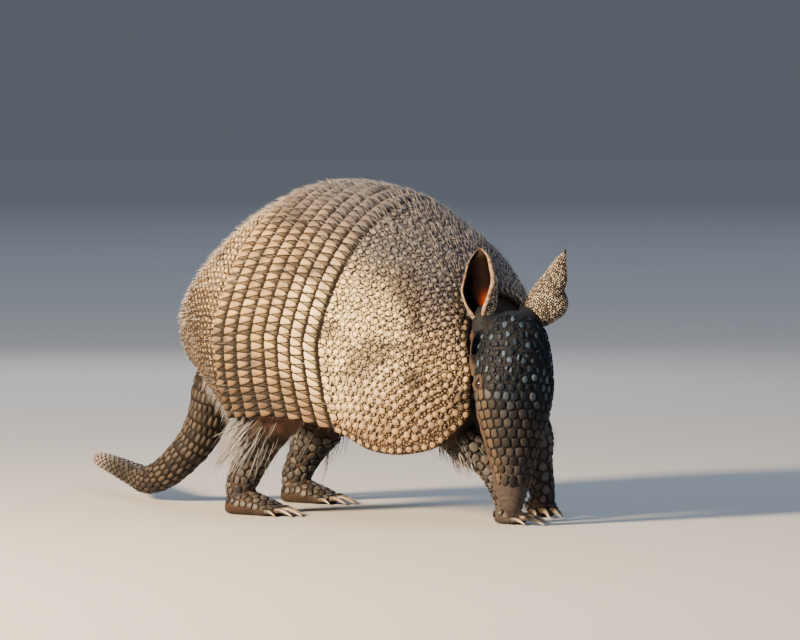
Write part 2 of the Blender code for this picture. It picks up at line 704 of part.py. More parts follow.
def ear_mesh(root, axis, opening, length, half):
    """Cupped ear leaf of arcs open to one side."""
    base = head_point(*root)
    lean = np.stack([ACROSS, np.array([0.0, 0.0, 1.0]), TOWARD])
    axis = unit(np.array(axis) @ lean)
    opening = unit(np.array(opening) @ lean)
    opening = unit(opening - np.dot(opening, axis) * axis)
    side = np.cross(axis, opening)
    outer = []
    inner = []
    for share, width, reach in EAR_LEAF:
        turn = np.radians(np.linspace(-reach, reach, EAR_ARC_POINTS))
        size = half * width
        middle = base + axis * length * share + opening * (0.35 * size)
        for sheet, less in ((outer, 0.0), (inner, EAR_THICK)):
            radius = max(size - less, size * 0.35)
            sheet.append(middle + side * (np.sin(turn) * radius)[:, None]
                         - opening * (np.cos(turn) * radius * 0.85)[:, None])
    return plate_mesh(np.array(outer), np.array(inner))


def flat_ring(middle, side, half, height, sides, floor):
    """Ring of a foot or toe, upright, its underside pressed flat at the floor height."""
    turn = np.linspace(0, 2 * math.pi, sides, endpoint=False) + math.pi / sides
    ring = middle + side * (np.cos(turn) * half)[:, None]
    ring = ring + np.array([0, 0, 1.0]) * (np.sin(turn) * height)[:, None]
    ring[:, 2] = np.maximum(ring[:, 2], floor)
    return ring


def toe_piece(name, start, heading, reach, claw, thick, home):
    """Toe with its claw: one tapered tube, the claw bent down to the floor."""
    side = np.array([-heading[1], heading[0], 0.0])
    rings = []
    rows = [(reach * share, wide, high) for share, wide, high in TOE_RINGS]
    rows += [(reach + claw * share, wide, high) for share, wide, high in CLAW_RINGS]
    for out, wide, high in rows:
        middle = start + heading * out + np.array([0, 0, thick * high])
        rings.append(flat_ring(middle, side, thick * wide, thick * wide, 6, SOLE_CLEAR))
    return mesh_object(name, *tube_mesh(rings), home)


def limb_spots(path, shares, turns):
    """Centre, outward normal, direction down the limb and half width at places on a limb's surface."""
    centre, along, side, lift = path_frame(path, shares, LEG_FRONT)
    turns = np.radians(turns)[:, None]
    normal = np.cos(turns) * side + np.sin(turns) * lift
    return centre[:, :3] + normal * centre[:, 3:], normal, along, centre[:, 3]


def leg_scutes(name, path, home):
    """Rounded scutes down the front of a foreleg."""
    shares, turns = np.array(LEG_SCUTES, float).T
    pieces = []
    for k, (spot, normal, along, half) in enumerate(zip(*limb_spots(path, shares, turns))):
        outline = polygon(6, half * LEG_SCUTE_SIZE)
        corners = flat_corners(spot, normal, along, outline)
        pieces.append(plate_piece(f"{name}_scute{k}", corners, normal, HEAD_SCUTE_TOP, LEG_SCUTE_RISE, HEAD_SCUTE_ROOT,
                                  home))
    return pieces


def leg_locks(name, path, outer, home):
    """Flat tapered hair locks on the outer rear side of a hind leg, hanging down and back."""
    shares, turns, lengths = np.array(LEG_LOCKS, float).T
    if outer > 0:
        turns = 180 - turns
    pieces = []
    for k, (spot, normal, along, half) in enumerate(zip(*limb_spots(path, shares, turns))):
        hang = unit(normal * 0.45 + np.array([-0.45, 0.0, -0.8]))
        wide = unit(np.cross(normal, hang))
        thick = np.cross(hang, wide)
        rings = []
        for share, size in ((0.0, 0.8), (0.5, 1.0), (1.0, 0.12)):
            middle = spot - normal * LOCK_ROOT + hang * lengths[k] * share
            rings.append(middle + np.array([wide * LOCK_HALF, thick * LOCK_THICK, -wide * LOCK_HALF,
                                            -thick * LOCK_THICK]) * size)
        pieces.append(mesh_object(f"{name}_lock{k}", *tube_mesh(rings), home))
    return pieces


def leg(name, path, foot, toes, extra, home, surface):
    """Limb, foot with a flat sole, toes and claws, and any scutes or locks, fused into one body."""
    limb = path_rings(path, LEG_SIDES, np.linspace(0, 1, LEG_ROWS), up=LEG_FRONT)
    limb[:, :, 2] = np.maximum(limb[:, :, 2], 2 * SOLE_CLEAR)
    thing = mesh_object(name, *tube_mesh(limb), home, surface)
    heel_x, heel_y, length, half, height, heading = foot
    forward = np.array([math.cos(heading), math.sin(heading), 0.0])
    side = np.array([-forward[1], forward[0], 0.0])
    heel = np.array([heel_x, heel_y, 0.0])
    rings = []
    for share, wide, high in FOOT_RINGS:
        middle = heel + forward * length * share + np.array([0, 0, height * high * 0.42])
        rings.append(flat_ring(middle, side, half * wide, height * high * 0.58, LEG_SIDES, 0.0))
    pieces = [mesh_object(name + "_foot", *tube_mesh(rings), home)]
    for k, (place, reach, claw, thick) in enumerate(toes):
        start = heel + forward * length * TOES_FROM + side * half * place
        toe_head = unit(forward + side * place * TOE_SPLAY)
        reach_out = length * (1 - TOES_FROM) + reach
        pieces.append(toe_piece(f"{name}_toe{k}", start, toe_head, reach_out, claw, thick, home))
    return fuse(thing, pieces + extra)


def tail(home, surface):
    """Tail: rings of scutes, each ring's rear edge standing over the next."""
    edges = np.linspace(TAIL_RINGS_FROM, TAIL_RINGS_TO, TAIL_RINGS + 1) ** 0.93
    shares = list(TAIL_ROOT)
    steps = [0.0] * len(TAIL_ROOT)
    for k in range(TAIL_RINGS):
        shares += [edges[k] + 0.0005, edges[k + 1] - 0.0015]
        steps += [0.0, TAIL_STEP * (1 - 0.55 * k / TAIL_RINGS)]
    shares += TAIL_TIP
    steps += [0.0] * len(TAIL_TIP)
    return mesh_object("tail", *tube_mesh(path_rings(TAIL_PATH, TAIL_SIDES, shares, step=steps)), home, surface)


def head_scutes(home):
    """Irregular plates over the crown and face, longer towards the nose, clear of the eyes and ears."""
    random = np.random.default_rng(SEED + 1)
    base, down, right, up = head_frame()
    avoid = [(head_point(EYE_ALONG, side * EYE_OUT, EYE_UP), EYE_SIZE + HEAD_SCUTE_SIZE + 1.6) for side in (-1, 1)]
    avoid += [(head_point(*ear[0]), EAR_CLEAR) for ear in (EAR_RIGHT, EAR_LEFT)]
    spots = []
    for row, station in enumerate(np.arange(3.0, HEAD_SCUTES_END, 3.7)):
        places = (np.arange(15) + 0.5 * (row % 2)) / 14.5
        spots += [(station, HEAD_SCUTE_TURN * (2 * place - 1)) for place in places]
    spots = np.array(spots)
    centres = head_skin(spots[:, 0], spots[:, 1])
    pieces = []
    for n, k in enumerate(spread_out(centres, HEAD_SCUTE_GAP)):
        station, turn = spots[k]
        if any(np.linalg.norm(centres[k] - place) < room for place, room in avoid):
            continue
        ahead = head_skin(station + 1, turn) - head_skin(station - 1, turn)
        around = head_skin(station, turn + 0.05) - head_skin(station, turn - 0.05)
        normal = unit(np.cross(around, ahead))
        if np.dot(normal, centres[k] - (base + down * station)) < 0:
            normal = -normal
        size = HEAD_SCUTE_SIZE * random.uniform(0.9, 1.08) * (1.0 if station < 70 else 0.82)
        outline = polygon(6, size, random.uniform(-0.3, 0.3), 1.0 + station / 400)
        corners = flat_corners(centres[k], normal, ahead, outline)
        pieces.append(plate_piece(f"head_scute_{n}", corners, normal, HEAD_SCUTE_TOP, HEAD_SCUTE_RISE,
                                  HEAD_SCUTE_ROOT, home))
    return pieces


def main():
    """Build every node of the animal."""
    for old in list(bpy.data.objects):
        bpy.data.objects.remove(old)
    home = collection("armadillo")
    cutters = collection("cutters")

    shell_grey = material("shell_scales", (0.36, 0.29, 0.21), 0.6)
    band_tan = material("band_scales", (0.42, 0.33, 0.23), 0.58)
    skin_brown = material("body_skin", (0.30, 0.20, 0.15), 0.75)
    head_scale = material("head_scales", (0.28, 0.24, 0.22), 0.6)
    ear_skin = material("ear_skin", (0.42, 0.24, 0.16), 0.7)
    eye_black = material("eye_surface", (0.012, 0.012, 0.016), 0.08)
    leg_scale = material("leg_scales", (0.27, 0.21, 0.17), 0.65)
    tail_scale = material("tail_scales", (0.36, 0.25, 0.17), 0.62)

    # Shell: two shields and the bands between them.
    front = SHELL_RINGS[-1][0]
    rear = SHELL_RINGS[0][0]
    scapular = shield("scapular_shield", SEAM, front, SCAPULAR_ROWS, EDGE_RISE, home, shell_grey)
    pelvic = shield("pelvic_shield", rear, BANDS_REAR - SEAM, PELVIC_ROWS, 0.0, home, shell_grey)
    fuse(scapular, rosettes("scapular_rosette", SEAM, front, home))
    fuse(pelvic, rosettes("pelvic_rosette", BANDS_REAR - SEAM, rear, home))
    pitch = -BANDS_REAR / BAND_COUNT
    for k in range(BAND_COUNT):
        low = -pitch * (k + 1) + SEAM
        high = -pitch * k - SEAM
        band = shield(f"shell_band_{k + 1}", low, high, 2, EDGE_RISE, home, band_tan)
        fuse(band, band_wedges(f"wedge_{k}", low, high, home))

    # Body under the shell, and the room that it and the shell keep from the limbs.
    mesh_object("torso", *tube_mesh(torso_rings(0.0)), home, skin_brown)
    torso_room = cutter_object("torso_clearance", *tube_mesh(torso_rings(GAP)), cutters)
    shell_room = cutter_object("shell_clearance", *shell_room_mesh(), cutters)

    # Head with its scutes, lids, eye sockets, mouth and nostrils, and the neck behind it.
    head = mesh_object("head", *tube_mesh(head_rings(0.0)), home, head_scale)
    head_room = cutter_object("head_clearance", *tube_mesh(head_rings(GAP)), cutters)
    neck = mesh_object("neck", *tube_mesh(path_rings(NECK_PATH, NECK_SIDES, np.linspace(0, 1, NECK_ROWS))), home,
                       skin_brown)
    cut(neck, torso_room)
    cut(neck, head_room)
    lids = [lid_object(f"lids_{side}", side, home) for side in (-1, 1)]
    fuse(head, head_scutes(home) + lids)
    nose_along, nose_out, nose_up = NOSTRIL_PLACE
    for side, sign in (("right", 1), ("left", -1)):
        centre = head_point(EYE_ALONG, sign * EYE_OUT, EYE_UP)
        nostril = head_point(nose_along, sign * nose_out, nose_up)
        cut(head, hidden(ball_object(f"socket_{side}", centre, EYE_SIZE + GAP, 12, cutters)))
        cut(head, hidden(ball_object(f"nostril_{side}", nostril, NOSTRIL_SIZE, 8, cutters)))
        cut(head, cutter_object(f"mouth_{side}", *mouth_mesh(sign), cutters))
        ball_object(f"eye_{side}", centre, EYE_SIZE, 10, home, eye_black)

    for name, ear in (("ear_right", EAR_RIGHT), ("ear_left", EAR_LEFT)):
        cut(mesh_object(name, *ear_mesh(*ear), home, ear_skin), head_room)

    # Legs: scutes down the front of the forelegs, hair locks on the hind legs.
    legs = (
        ("foreleg_right", FORELEG_RIGHT, FOOT_FORE_RIGHT, FORE_TOES),
        ("foreleg_left", FORELEG_LEFT, FOOT_FORE_LEFT, FORE_TOES),
        ("hindleg_right", HINDLEG_RIGHT, FOOT_HIND_RIGHT, HIND_TOES),
        ("hindleg_left", HINDLEG_LEFT, FOOT_HIND_LEFT, HIND_TOES),
    )
    for name, path, foot, toes in legs:
        if name.startswith("foreleg"):
            extra = leg_scutes(name, path, home)
        else:
            extra = leg_locks(name, path, path[0][1], home)
        made = leg(name, path, foot, toes, extra, home, leg_scale)
        cut(made, torso_room)
        cut(made, shell_room)

    rear_end = tail(home, tail_scale)
    cut(rear_end, torso_room)
    cut(rear_end, shell_room)

    for thing in home.objects:
        thing.data.shade_smooth()
        thing.data.set_sharp_from_angle(angle=SHARP_EDGE)


main()
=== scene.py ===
"""Nine-banded armadillo, a still life-size model: shell plates, scutes, skin, ears, eyes, claws and hair."""
import math

import bpy
import numpy as np
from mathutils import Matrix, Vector


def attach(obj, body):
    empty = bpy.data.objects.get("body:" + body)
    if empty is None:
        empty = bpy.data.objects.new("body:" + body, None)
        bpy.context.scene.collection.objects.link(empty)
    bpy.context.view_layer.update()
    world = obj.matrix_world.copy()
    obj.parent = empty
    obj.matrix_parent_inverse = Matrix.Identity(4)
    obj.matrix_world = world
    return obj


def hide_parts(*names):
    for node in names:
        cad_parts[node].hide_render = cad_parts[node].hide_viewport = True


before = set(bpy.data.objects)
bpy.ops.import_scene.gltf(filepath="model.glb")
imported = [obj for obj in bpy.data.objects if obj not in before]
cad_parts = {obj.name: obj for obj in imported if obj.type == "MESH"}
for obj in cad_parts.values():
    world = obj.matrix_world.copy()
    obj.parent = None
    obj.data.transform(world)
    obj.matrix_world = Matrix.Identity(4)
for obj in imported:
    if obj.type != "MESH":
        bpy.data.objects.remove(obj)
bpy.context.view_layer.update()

# Shoulder shield: the front half of the armour, bone plates grown together under horn. Each plate shows
# as a round dome with small ones between. The domes are longest along the rear edge, which overhangs the
# first band; the other margins are free and carry a closer row.
MM = 0.001
ORIGIN_SHIFT = np.array([73.1, -1.1, 0.0])

# Station along the back, then top point x z, widest point x y z and lower margin point x y z.
SHELL_RINGS = np.array([
    (-158, -121.0, 90, -112.0, 39.5, 84, -103.5, 39.5, 76),
    (-145, -120.5, 107, -110.5, 48.5, 97, -95.5, 46.0, 71),
    (-128, -111.0, 129, -104.0, 58.5, 106, -88.0, 51.5, 66.5),
    (-110, -95.5, 150, -94.0, 68.5, 108, -80.5, 56.5, 62),
    (-90, -73.5, 170, -82.0, 75.5, 107.5, -74.0, 60.5, 57.5),
    (-69, -50.0, 181.5, -68.0, 78.6, 105.5, -69.0, 64.0, 55.0),
    (-35, -17.5, 183, -34.0, 79.5, 101, -35.0, 67.5, 56.5),
    (0, 16.0, 173.5, 0.0, 78.4, 97, 2.5, 66.0, 49.5),
    (22, 33.5, 162.5, 24.0, 74.5, 92, 23.0, 62.5, 39.5),
    (45, 51.0, 149, 46.0, 65.5, 88, 46.0, 57.5, 38.5),
    (61, 59.5, 137.5, 60.5, 55.5, 86, 61.5, 52.0, 44),
    (76, 64.0, 124.5, 75.0, 43.5, 85, 73.5, 42.0, 60),
])
SHELL_THICK = 3.0
SHIELD_END = 76.0
EDGE_OVERHANG = 0.9
EDGE_REACH = 7
DOME_SHARE = 0.39
LOW_FLANK_WIDER = 0.12
# Free margins: room that the rows leave beside and in front of them, in gaps; the domes of a margin's own
# row: gap and size as shares of the flank's, distance of their middles from the edge in gaps.
SIDE_ROOM = 1.32
END_ROOM = 0.95
MARGIN_GAP = 1.08
MARGIN_SIZE = 1.18
END_SIZE = 1.15
SIDE_INSET = 0.54
END_INSET = 0.58
# Small domes round each big one: rows ahead, places along the row, radius as a share of the row gap.
SMALL_PLACES = ((0.33, 0.5, 0.235), (-0.33, 0.5, 0.235), (0.0, 0.5, 0.17), (0.5, 0.25, 0.17), (0.5, 0.75, 0.17))
dice = np.random.default_rng(21)


def smooth_curve(knots, values, at):
    """Cubic through the rows of a table, its slopes the differences of the neighbouring rows."""
    knots, values = np.asarray(knots, float), np.asarray(values, float)
    at = np.clip(np.asarray(at, float), knots[0], knots[-1])
    slopes = np.gradient(values, knots, axis=0)
    i = np.clip(np.searchsorted(knots, at, side="right") - 1, 0, len(knots) - 2)
    h = (knots[i + 1] - knots[i])[..., None]
    t = (at - knots[i])[..., None] / h
    return ((2 * t**3 - 3 * t**2 + 1) * values[i] + (t**3 - 2 * t**2 + t) * h * slopes[i]
            + (3 * t**2 - 2 * t**3) * values[i + 1] + (t**3 - t**2) * h * slopes[i + 1])


def unit(v):
    """Vectors divided by their length."""
    return v / np.maximum(np.linalg.norm(v, axis=-1, keepdims=True), 1e-12)


def circle(count):
    """Even turns round a whole circle."""
    return np.linspace(0, 2 * math.pi, count, endpoint=False)


def run_of(line):
    """Length run along a line of points up to each of them."""
    return np.concatenate([[0], np.cumsum(np.linalg.norm(np.diff(line, axis=0), axis=1))])


def ramp(low, high, x):
    """0 below low and 1 above high, 3t^2 - 2t^3 between; it falls where high is the smaller."""
    t = np.clip((np.asarray(x, float) - low) / (high - low), 0, 1)
    return t * t * (3 - 2 * t)


def shell_surface():
    """Grid of the shell: each cross ring is a quarter ellipse from the top point to the widest point, then
    a line drawn in to the lower margin, read at even shares of its length from right margin to left."""
    stations = np.linspace(SHELL_RINGS[0, 0], SHELL_RINGS[-1, 0], 235)
    share = np.linspace(-1, 1, 401)
    turn = np.linspace(0, math.pi / 2, 60)
    down = np.linspace(0, 1, 40)[1:]
    grid = np.zeros((len(stations), len(share), 3))
    rings = smooth_curve(SHELL_RINGS[:, 0], SHELL_RINGS[:, 1:], stations)
    for k, (xt, zt, xw, yw, zw, xm, ym, zm) in enumerate(rings):
        x = np.concatenate([xt + (xw - xt) * (1 - np.cos(turn)), xw + (xm - xw) * down])
        y = np.concatenate([yw * np.sin(turn), yw - (yw - ym) * down**2])
        z = np.concatenate([zw + (zt - zw) * np.cos(turn), zw - (zw - zm) * down])
        path = np.concatenate([[0], np.cumsum(np.sqrt(np.diff(x)**2 + np.diff(y)**2 + np.diff(z)**2))])
        want = np.abs(share) * path[-1]
        grid[k] = np.stack([np.interp(want, path, x), np.interp(want, path, y) * np.sign(share),
                            np.interp(want, path, z)], axis=1)
    normal = unit(np.cross(np.gradient(grid, axis=0), np.gradient(grid, axis=1)))
    return stations, share, grid, normal


STATIONS, SHARES, SHELL, SHELL_NORMAL = shell_surface()


def read_grid(field, station, share):
    """A grid of the shell read at any stations and shares, in proportion between its four nearest points."""
    station, share = np.broadcast_arrays(np.asarray(station, float), np.asarray(share, float))
    i = np.clip((station - STATIONS[0]) / (STATIONS[1] - STATIONS[0]), 0, len(STATIONS) - 1.001)
    j = np.clip((share - SHARES[0]) / (SHARES[1] - SHARES[0]), 0, len(SHARES) - 1.001)
    i0, j0 = i.astype(int), j.astype(int)
    fi, fj = (i - i0)[..., None], (j - j0)[..., None]
    return ((field[i0, j0] * (1 - fj) + field[i0, j0 + 1] * fj) * (1 - fi)
            + (field[i0 + 1, j0] * (1 - fj) + field[i0 + 1, j0 + 1] * fj) * fi)


def shell_at(station, share, lift=0.0):
    """Points of the shell raised along its normal; past an end they run on along the last slope."""
    station, share, lift = np.broadcast_arrays(np.asarray(station, float), np.asarray(share, float),
                                               np.asarray(lift, float))
    held = np.clip(station, STATIONS[0], STATIONS[-1])
    slope = read_grid(SHELL, np.minimum(held + 1, STATIONS[-1]), share) - read_grid(
        SHELL, np.maximum(held - 1, STATIONS[0]), share)
    normal = unit(read_grid(SHELL_NORMAL, held, share))
    return read_grid(SHELL, held, share) + (station - held)[..., None] * slope / 2 + normal * lift[..., None]


def shell_frames(station, share, lift=0.0):
    """Place, forward, side and outward directions on the shell at each station and share."""
    normal = unit(read_grid(SHELL_NORMAL, station, share))
    forward = shell_at(station + 1, share) - shell_at(station - 1, share)
    forward = unit(forward - np.sum(forward * normal, axis=-1, keepdims=True) * normal)
    return shell_at(station, share, lift), forward, np.cross(normal, forward), normal


def grid_faces(rows, columns, ring=False, start=0):
    """Four-sided faces of a rows by columns sheet of points, closed round its columns if it is a ring."""
    r, c = np.meshgrid(np.arange(rows - 1), np.arange(columns if ring else columns - 1), indexing="ij")
    d = (c + 1) % columns
    return start + np.stack([r * columns + c, r * columns + d, (r + 1) * columns + d, (r + 1) * columns + c],
                            axis=-1).reshape(-1, 4)


def slab(outer, inner):
    """Closed body between two sheets of the same size: both sheets and a strip round their shared edge."""
    rows, columns = outer.shape[:2]
    count = rows * columns
    at = np.arange(count).reshape(rows, columns)
    edge = np.concatenate([at[0], at[1:, -1], at[-1, -2::-1], at[-2:0:-1, 0]])
    ahead = np.roll(edge, -1)
    strip = np.stack([ahead, edge, edge + count, ahead + count], axis=1)
    faces = np.concatenate([grid_faces(rows, columns), grid_faces(rows, columns, start=count)[:, ::-1], strip])
    return np.concatenate([outer.reshape(-1, 3), inner.reshape(-1, 3)]), [faces]


def outward(shape):
    """A closed shape with its faces turned over if its volume, a sixth of the sum of its triangles' box
    products, is below zero."""
    points, faces = shape
    total = 0.0
    for group in faces:
        for k in range(1, group.shape[1] - 1):
            a, b, c = points[group[:, 0]], points[group[:, k]], points[group[:, k + 1]]
            total += np.einsum("ij,ij->", a, np.cross(b, c))
    return points, [group[:, ::-1] for group in faces] if total < 0 else faces


def many(shapes):
    """One list of points and of faces from several shapes, the later ones' faces counted on."""
    groups, start = {}, 0
    for points, faces in map(outward, shapes):
        for group in faces:
            groups.setdefault(group.shape[1], []).append(group + start)
        start += len(points)
    return np.concatenate([points for points, faces in shapes]), [np.concatenate(g) for g in groups.values()]


def mesh_of(name, shape):
    """Mesh from body-frame points in millimetres, shifted and scaled to metres."""
    points, faces = outward(shape)
    sizes = np.concatenate([np.full(len(group), group.shape[1]) for group in faces])
    mesh = bpy.data.meshes.new(name)
    mesh.vertices.add(len(points))
    mesh.loops.add(int(sizes.sum()))
    mesh.polygons.add(len(sizes))
    mesh.vertices.foreach_set("co", ((points + ORIGIN_SHIFT) * MM).ravel())
    mesh.loops.foreach_set("vertex_index", np.concatenate([group.ravel() for group in faces]).astype(np.int32))
    mesh.polygons.foreach_set("loop_start", np.concatenate([[0], np.cumsum(sizes)[:-1]]).astype(np.int32))
    mesh.polygons.foreach_set("use_smooth", np.ones(len(sizes), bool))
    mesh.update(calc_edges=True)
    return mesh


def piece(name, parts, surface, slot, nodes, **kept):
    """Object that stands for the named nodes, made from a mesh or from a list of shapes, each with the numbers
    kept at its points for the finish to read, 0 where it has none. It rides on the animal's one body."""
    if isinstance(parts, bpy.types.Mesh):
        mesh = parts
    else:
        mesh = mesh_of(name, many([shape for shape, _ in parts]))
        for key in {key for _, numbers in parts for key in numbers}:
            kept[key] = np.concatenate([np.broadcast_to(numbers.get(key, 0.0), len(shape[0]))
                                        for shape, numbers in parts])
    for key, numbers in sorted(kept.items()):
        values = np.asarray(numbers, np.float32)
        mesh.attributes.new(key, "FLOAT", "POINT").data.foreach_set("value", values)
    mesh.materials.clear()
    mesh.materials.append(surface)
    made = placed(name, mesh)
    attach(made, "root")
    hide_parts(*nodes)


def placed(name, data):
    """New object, put in the scene."""
    made = bpy.data.objects.new(name, data)
    bpy.context.scene.collection.objects.link(made)
    return made


class Wire:
    """Shader output that can be reckoned with: + - * and the calls below add nodes to its material."""

    def __init__(self, tree, out):
        self.tree, self.out = tree, out

    def add(self, kind, settings=(), inputs=(), output=0):
        """Any node: its settings are set first, then the values or links of its inputs by name or place."""
        node = self.tree.nodes.new(kind)
        for key, value in dict(settings).items():
            setattr(node, key, value)
        for key, value in dict(inputs).items():
            if isinstance(value, Wire):
                self.tree.links.new(value.out, node.inputs[key])
            else:
                node.inputs[key].default_value = value
        return Wire(self.tree, node.outputs[output])

    def math(self, operation, a, b=0.0, c=0.0):
        """One Math node."""
        return self.add("ShaderNodeMath", {"operation": operation}, {0: a, 1: b, 2: c})

    def __add__(self, other):
        return self.math("ADD", self, other)

    def __sub__(self, other):
        return self.math("SUBTRACT", self, other)

    def __rsub__(self, other):
        return self.math("SUBTRACT", other, self)

    def __mul__(self, other):
        return self.math("MULTIPLY", self, other)

    __radd__, __rmul__ = __add__, __mul__

    def rise(self, low, high):
        """0 below low, 1 above high, smooth between."""
        return self.add("ShaderNodeMapRange", {"interpolation_type": "SMOOTHSTEP"}, {0: self, 1: low, 2: high})

    def colours(self, a, b):
        """Colour a where this is 0 and b where it is 1."""
        a, b = ((*c, 1.0) if isinstance(c, tuple) else c for c in (a, b))
        return self.add("ShaderNodeMix", {"data_type": "RGBA"}, {0: self, 6: a, 7: b}, 2)

    def noise(self, scale, detail=3.0, rough=0.55):
        """Cloudy noise from 0 to 1 at this place, in cells a metre."""
        return self.add("ShaderNodeTexNoise", {}, {"Vector": self, "Scale": scale, "Detail": detail,
                                                   "Roughness": rough})

    def cells(self, scale):
        """Distance to the edge of the cell that this place is in, in cells a metre."""
        return self.add("ShaderNodeTexVoronoi", {"feature": "DISTANCE_TO_EDGE"},
                        {"Vector": self, "Scale": scale})

    def bumped(self, height, distance):
        """Normal tilted by a height that stands for a distance in metres."""
        return self.add("ShaderNodeBump", {}, {"Height": height, "Distance": distance, "Strength": 0.9})

    def kept(self, name):
        """Number kept under a name at each point of the mesh."""
        return self.add("ShaderNodeAttribute", {"attribute_name": name}, output="Fac")

    def part(self, axis):
        """One part of a vector: 0, 1 or 2."""
        return self.add("ShaderNodeSeparateXYZ", {}, {0: self}, axis)


def finish(name, paint, **fixed):
    """Material: paint takes the place wire and returns the changing inputs; the fixed ones are numbers."""
    made = bpy.data.materials.new(name)
    made.use_nodes = True
    tree = made.node_tree
    shader = tree.nodes["Principled BSDF"]
    for key, value in fixed.items():
        shader.inputs[key.replace("_", " ")].default_value = value
    for key, wire in paint(Wire(tree, tree.nodes.new("ShaderNodeTexCoord").outputs["Object"])).items():
        tree.links.new(wire.out, shader.inputs[key])
    return made


def shade(colour, by):
    """Colour made darker or lighter."""
    return tuple(min(1.0, c * by) for c in colour)


PALE_HORN = (0.66, 0.47, 0.245)
LIT_GOLD_HORN = (0.92, 0.74, 0.40)
BROWN_HORN = (0.20, 0.105, 0.052)
SKY_SHADE_GREY_HORN = (0.066, 0.070, 0.092)
DUSTY_HORN = (0.045, 0.034, 0.030)
DARK_SEAM = (0.009, 0.005, 0.0025)


def horn(pale):
    """Paint of horn scales: dark in the seams, pale on the domes, golden in the middle of the flank as painted
    light, grey up on the back as painted sky shade, brown along the lower edge and where warm is kept, brown at
    the rear partly as its own colour and partly as painted shade, dusty in clouds, and each scale a little
    lighter or darker than the next.
    Sheets have a grain of tiny cells."""
    def paint(place):
        grain = place.cells(520.0).rise(0.03, 0.20)
        height, own = place.kept("height") + place.kept("sheet") * grain * 0.58, place.kept("own")
        cloud = place.noise(38.0, 4.0)
        fine = place.noise(900.0, 4.0)
        face = own.colours(shade(pale, 0.45), pale)
        face = (place.kept("warm") * 0.85).colours(face, BROWN_HORN)
        low = (place.part(2) + (cloud - 0.5) * 0.04).rise(0.100, 0.040)
        face = (low * 0.65).colours(face, BROWN_HORN)
        # The rear and hip are browner horn in their own colour, and are also darkened further, most of all low
        # down, as painted shade where they face away from the light.
        rear = (place.part(0) * -1.0 + (cloud - 0.5) * 0.04 - place.part(2) * 0.65).rise(-0.110, -0.035)
        rear_brown_and_shade = low.colours(shade(BROWN_HORN, 0.42), shade(BROWN_HORN, 0.14))
        face = (rear * (0.97 - own * 0.25 * height)).colours(face, rear_brown_and_shade)
        along, up = place.part(0) - 0.085, place.part(2) - 0.104
        # Painted light: a golden pool on the middle of the flank, where the shell catches the most light.
        flank = (along * along + up * up * 0.7 + (cloud - 0.5) * 0.0012).rise(0.0022, 0.0002)
        face = (flank * 0.6).colours(face, LIT_GOLD_HORN)
        # Painted shade: grey-blue on the top of the back, where only cool sky light falls.
        back = (place.part(2) + place.part(0) * 0.58 + (cloud - 0.5) * 0.045).rise(0.160, 0.214)
        face = (back * (1.0 - height * height * 0.30)).colours(face, SKY_SHADE_GREY_HORN)
        face = (place.noise(150.0).rise(0.5, 0.75) * 0.40).colours(face, shade(BROWN_HORN, 0.6))
        face = (place.noise(30.0, 4.0).rise(0.53, 0.63) * 0.70).colours(face, DUSTY_HORN)
        colour = (height - rear * 0.26 + (fine - 0.5) * 0.35).rise(0.18, 0.74).colours(DARK_SEAM, face)
        bumps = fine + place.noise(2600.0) * 0.5 + place.kept("sheet") * grain * 3.0
        return {"Base Color": colour, "Roughness": 0.66 - height * 0.20 + (fine - 0.5) * 0.2,
                "Normal": place.bumped(bumps, 0.00018)}
    return paint


shield_horn = finish("shield_horn", horn(PALE_HORN), Specular_IOR_Level=0.30)


def capped(rings, top, profile):
    """Closed caps, each a stack of rings with a point on top and a flat underside, with the height at every
    point as the profile gives it, and one chance number from 0 to 1 for each cap."""
    count, sides = rings[0].shape[:2]
    points = np.concatenate([np.stack(rings, 1).reshape(count, -1, 3), top[:, None]], axis=1)
    each, rows, c = points.shape[1], len(rings), np.arange(sides)
    last = (rows - 1) * sides
    cap = np.stack([last + c, last + (c + 1) % sides, np.full(sides, each - 1)], axis=1)
    start = (np.arange(count) * each)[:, None, None]
    faces = [(group[None] + start).reshape(-1, group.shape[1])
             for group in (grid_faces(rows, sides, True), cap, c[::-1][None])]
    height = np.append(np.repeat([max(h, 0) for _, h in profile[:-1]], sides), 1.0)
    own = np.repeat(dice.uniform(0, 1, count), each)
    return (points.reshape(-1, 3), faces), {"height": np.tile(height, count), "own": own}


def domes(frames, size, high, stretch, sides, profile, wobble=0.06):
    """Closed round domes: rings of a turned profile (share of the radius, share of the height), drawn out
    along forward, each outline made uneven by two waves, with a point on top and a flat underside."""
    place, forward, side, normal = frames
    count = len(place)
    turn = circle(sides)
    phase = dice.uniform(0, 2 * math.pi, (2, count, 1))
    uneven = 1 + wobble * (0.6 * np.cos(2 * turn + phase[0]) + 0.5 * np.cos(3 * turn + phase[1]))
    size, high, stretch = (np.broadcast_to(v, count) for v in (size, high, stretch))
    out = (forward[:, None] * (np.cos(turn) * uneven * stretch[:, None])[..., None]
           + side[:, None] * (np.sin(turn) * uneven)[..., None]) * size[:, None, None]
    rings = [place[:, None] + out * r + normal[:, None] * (high * h)[:, None, None] for r, h in profile[:-1]]
    return capped(rings, place + normal * (high * profile[-1][1])[:, None], profile)


BIG_DOME = ((1.0, -0.5), (0.97, 0.10), (0.80, 0.52), (0.46, 0.87), (0.0, 1.0))
SMALL_DOME = ((1.0, -0.6), (0.80, 0.62), (0.0, 1.0))
# Height as a share of the row gap, sides, profile, and how far a place strays, as a share of the gap.
DOME_KINDS = ((0.18, 9, BIG_DOME, 0.085), (0.10, 6, SMALL_DOME, 0.06))


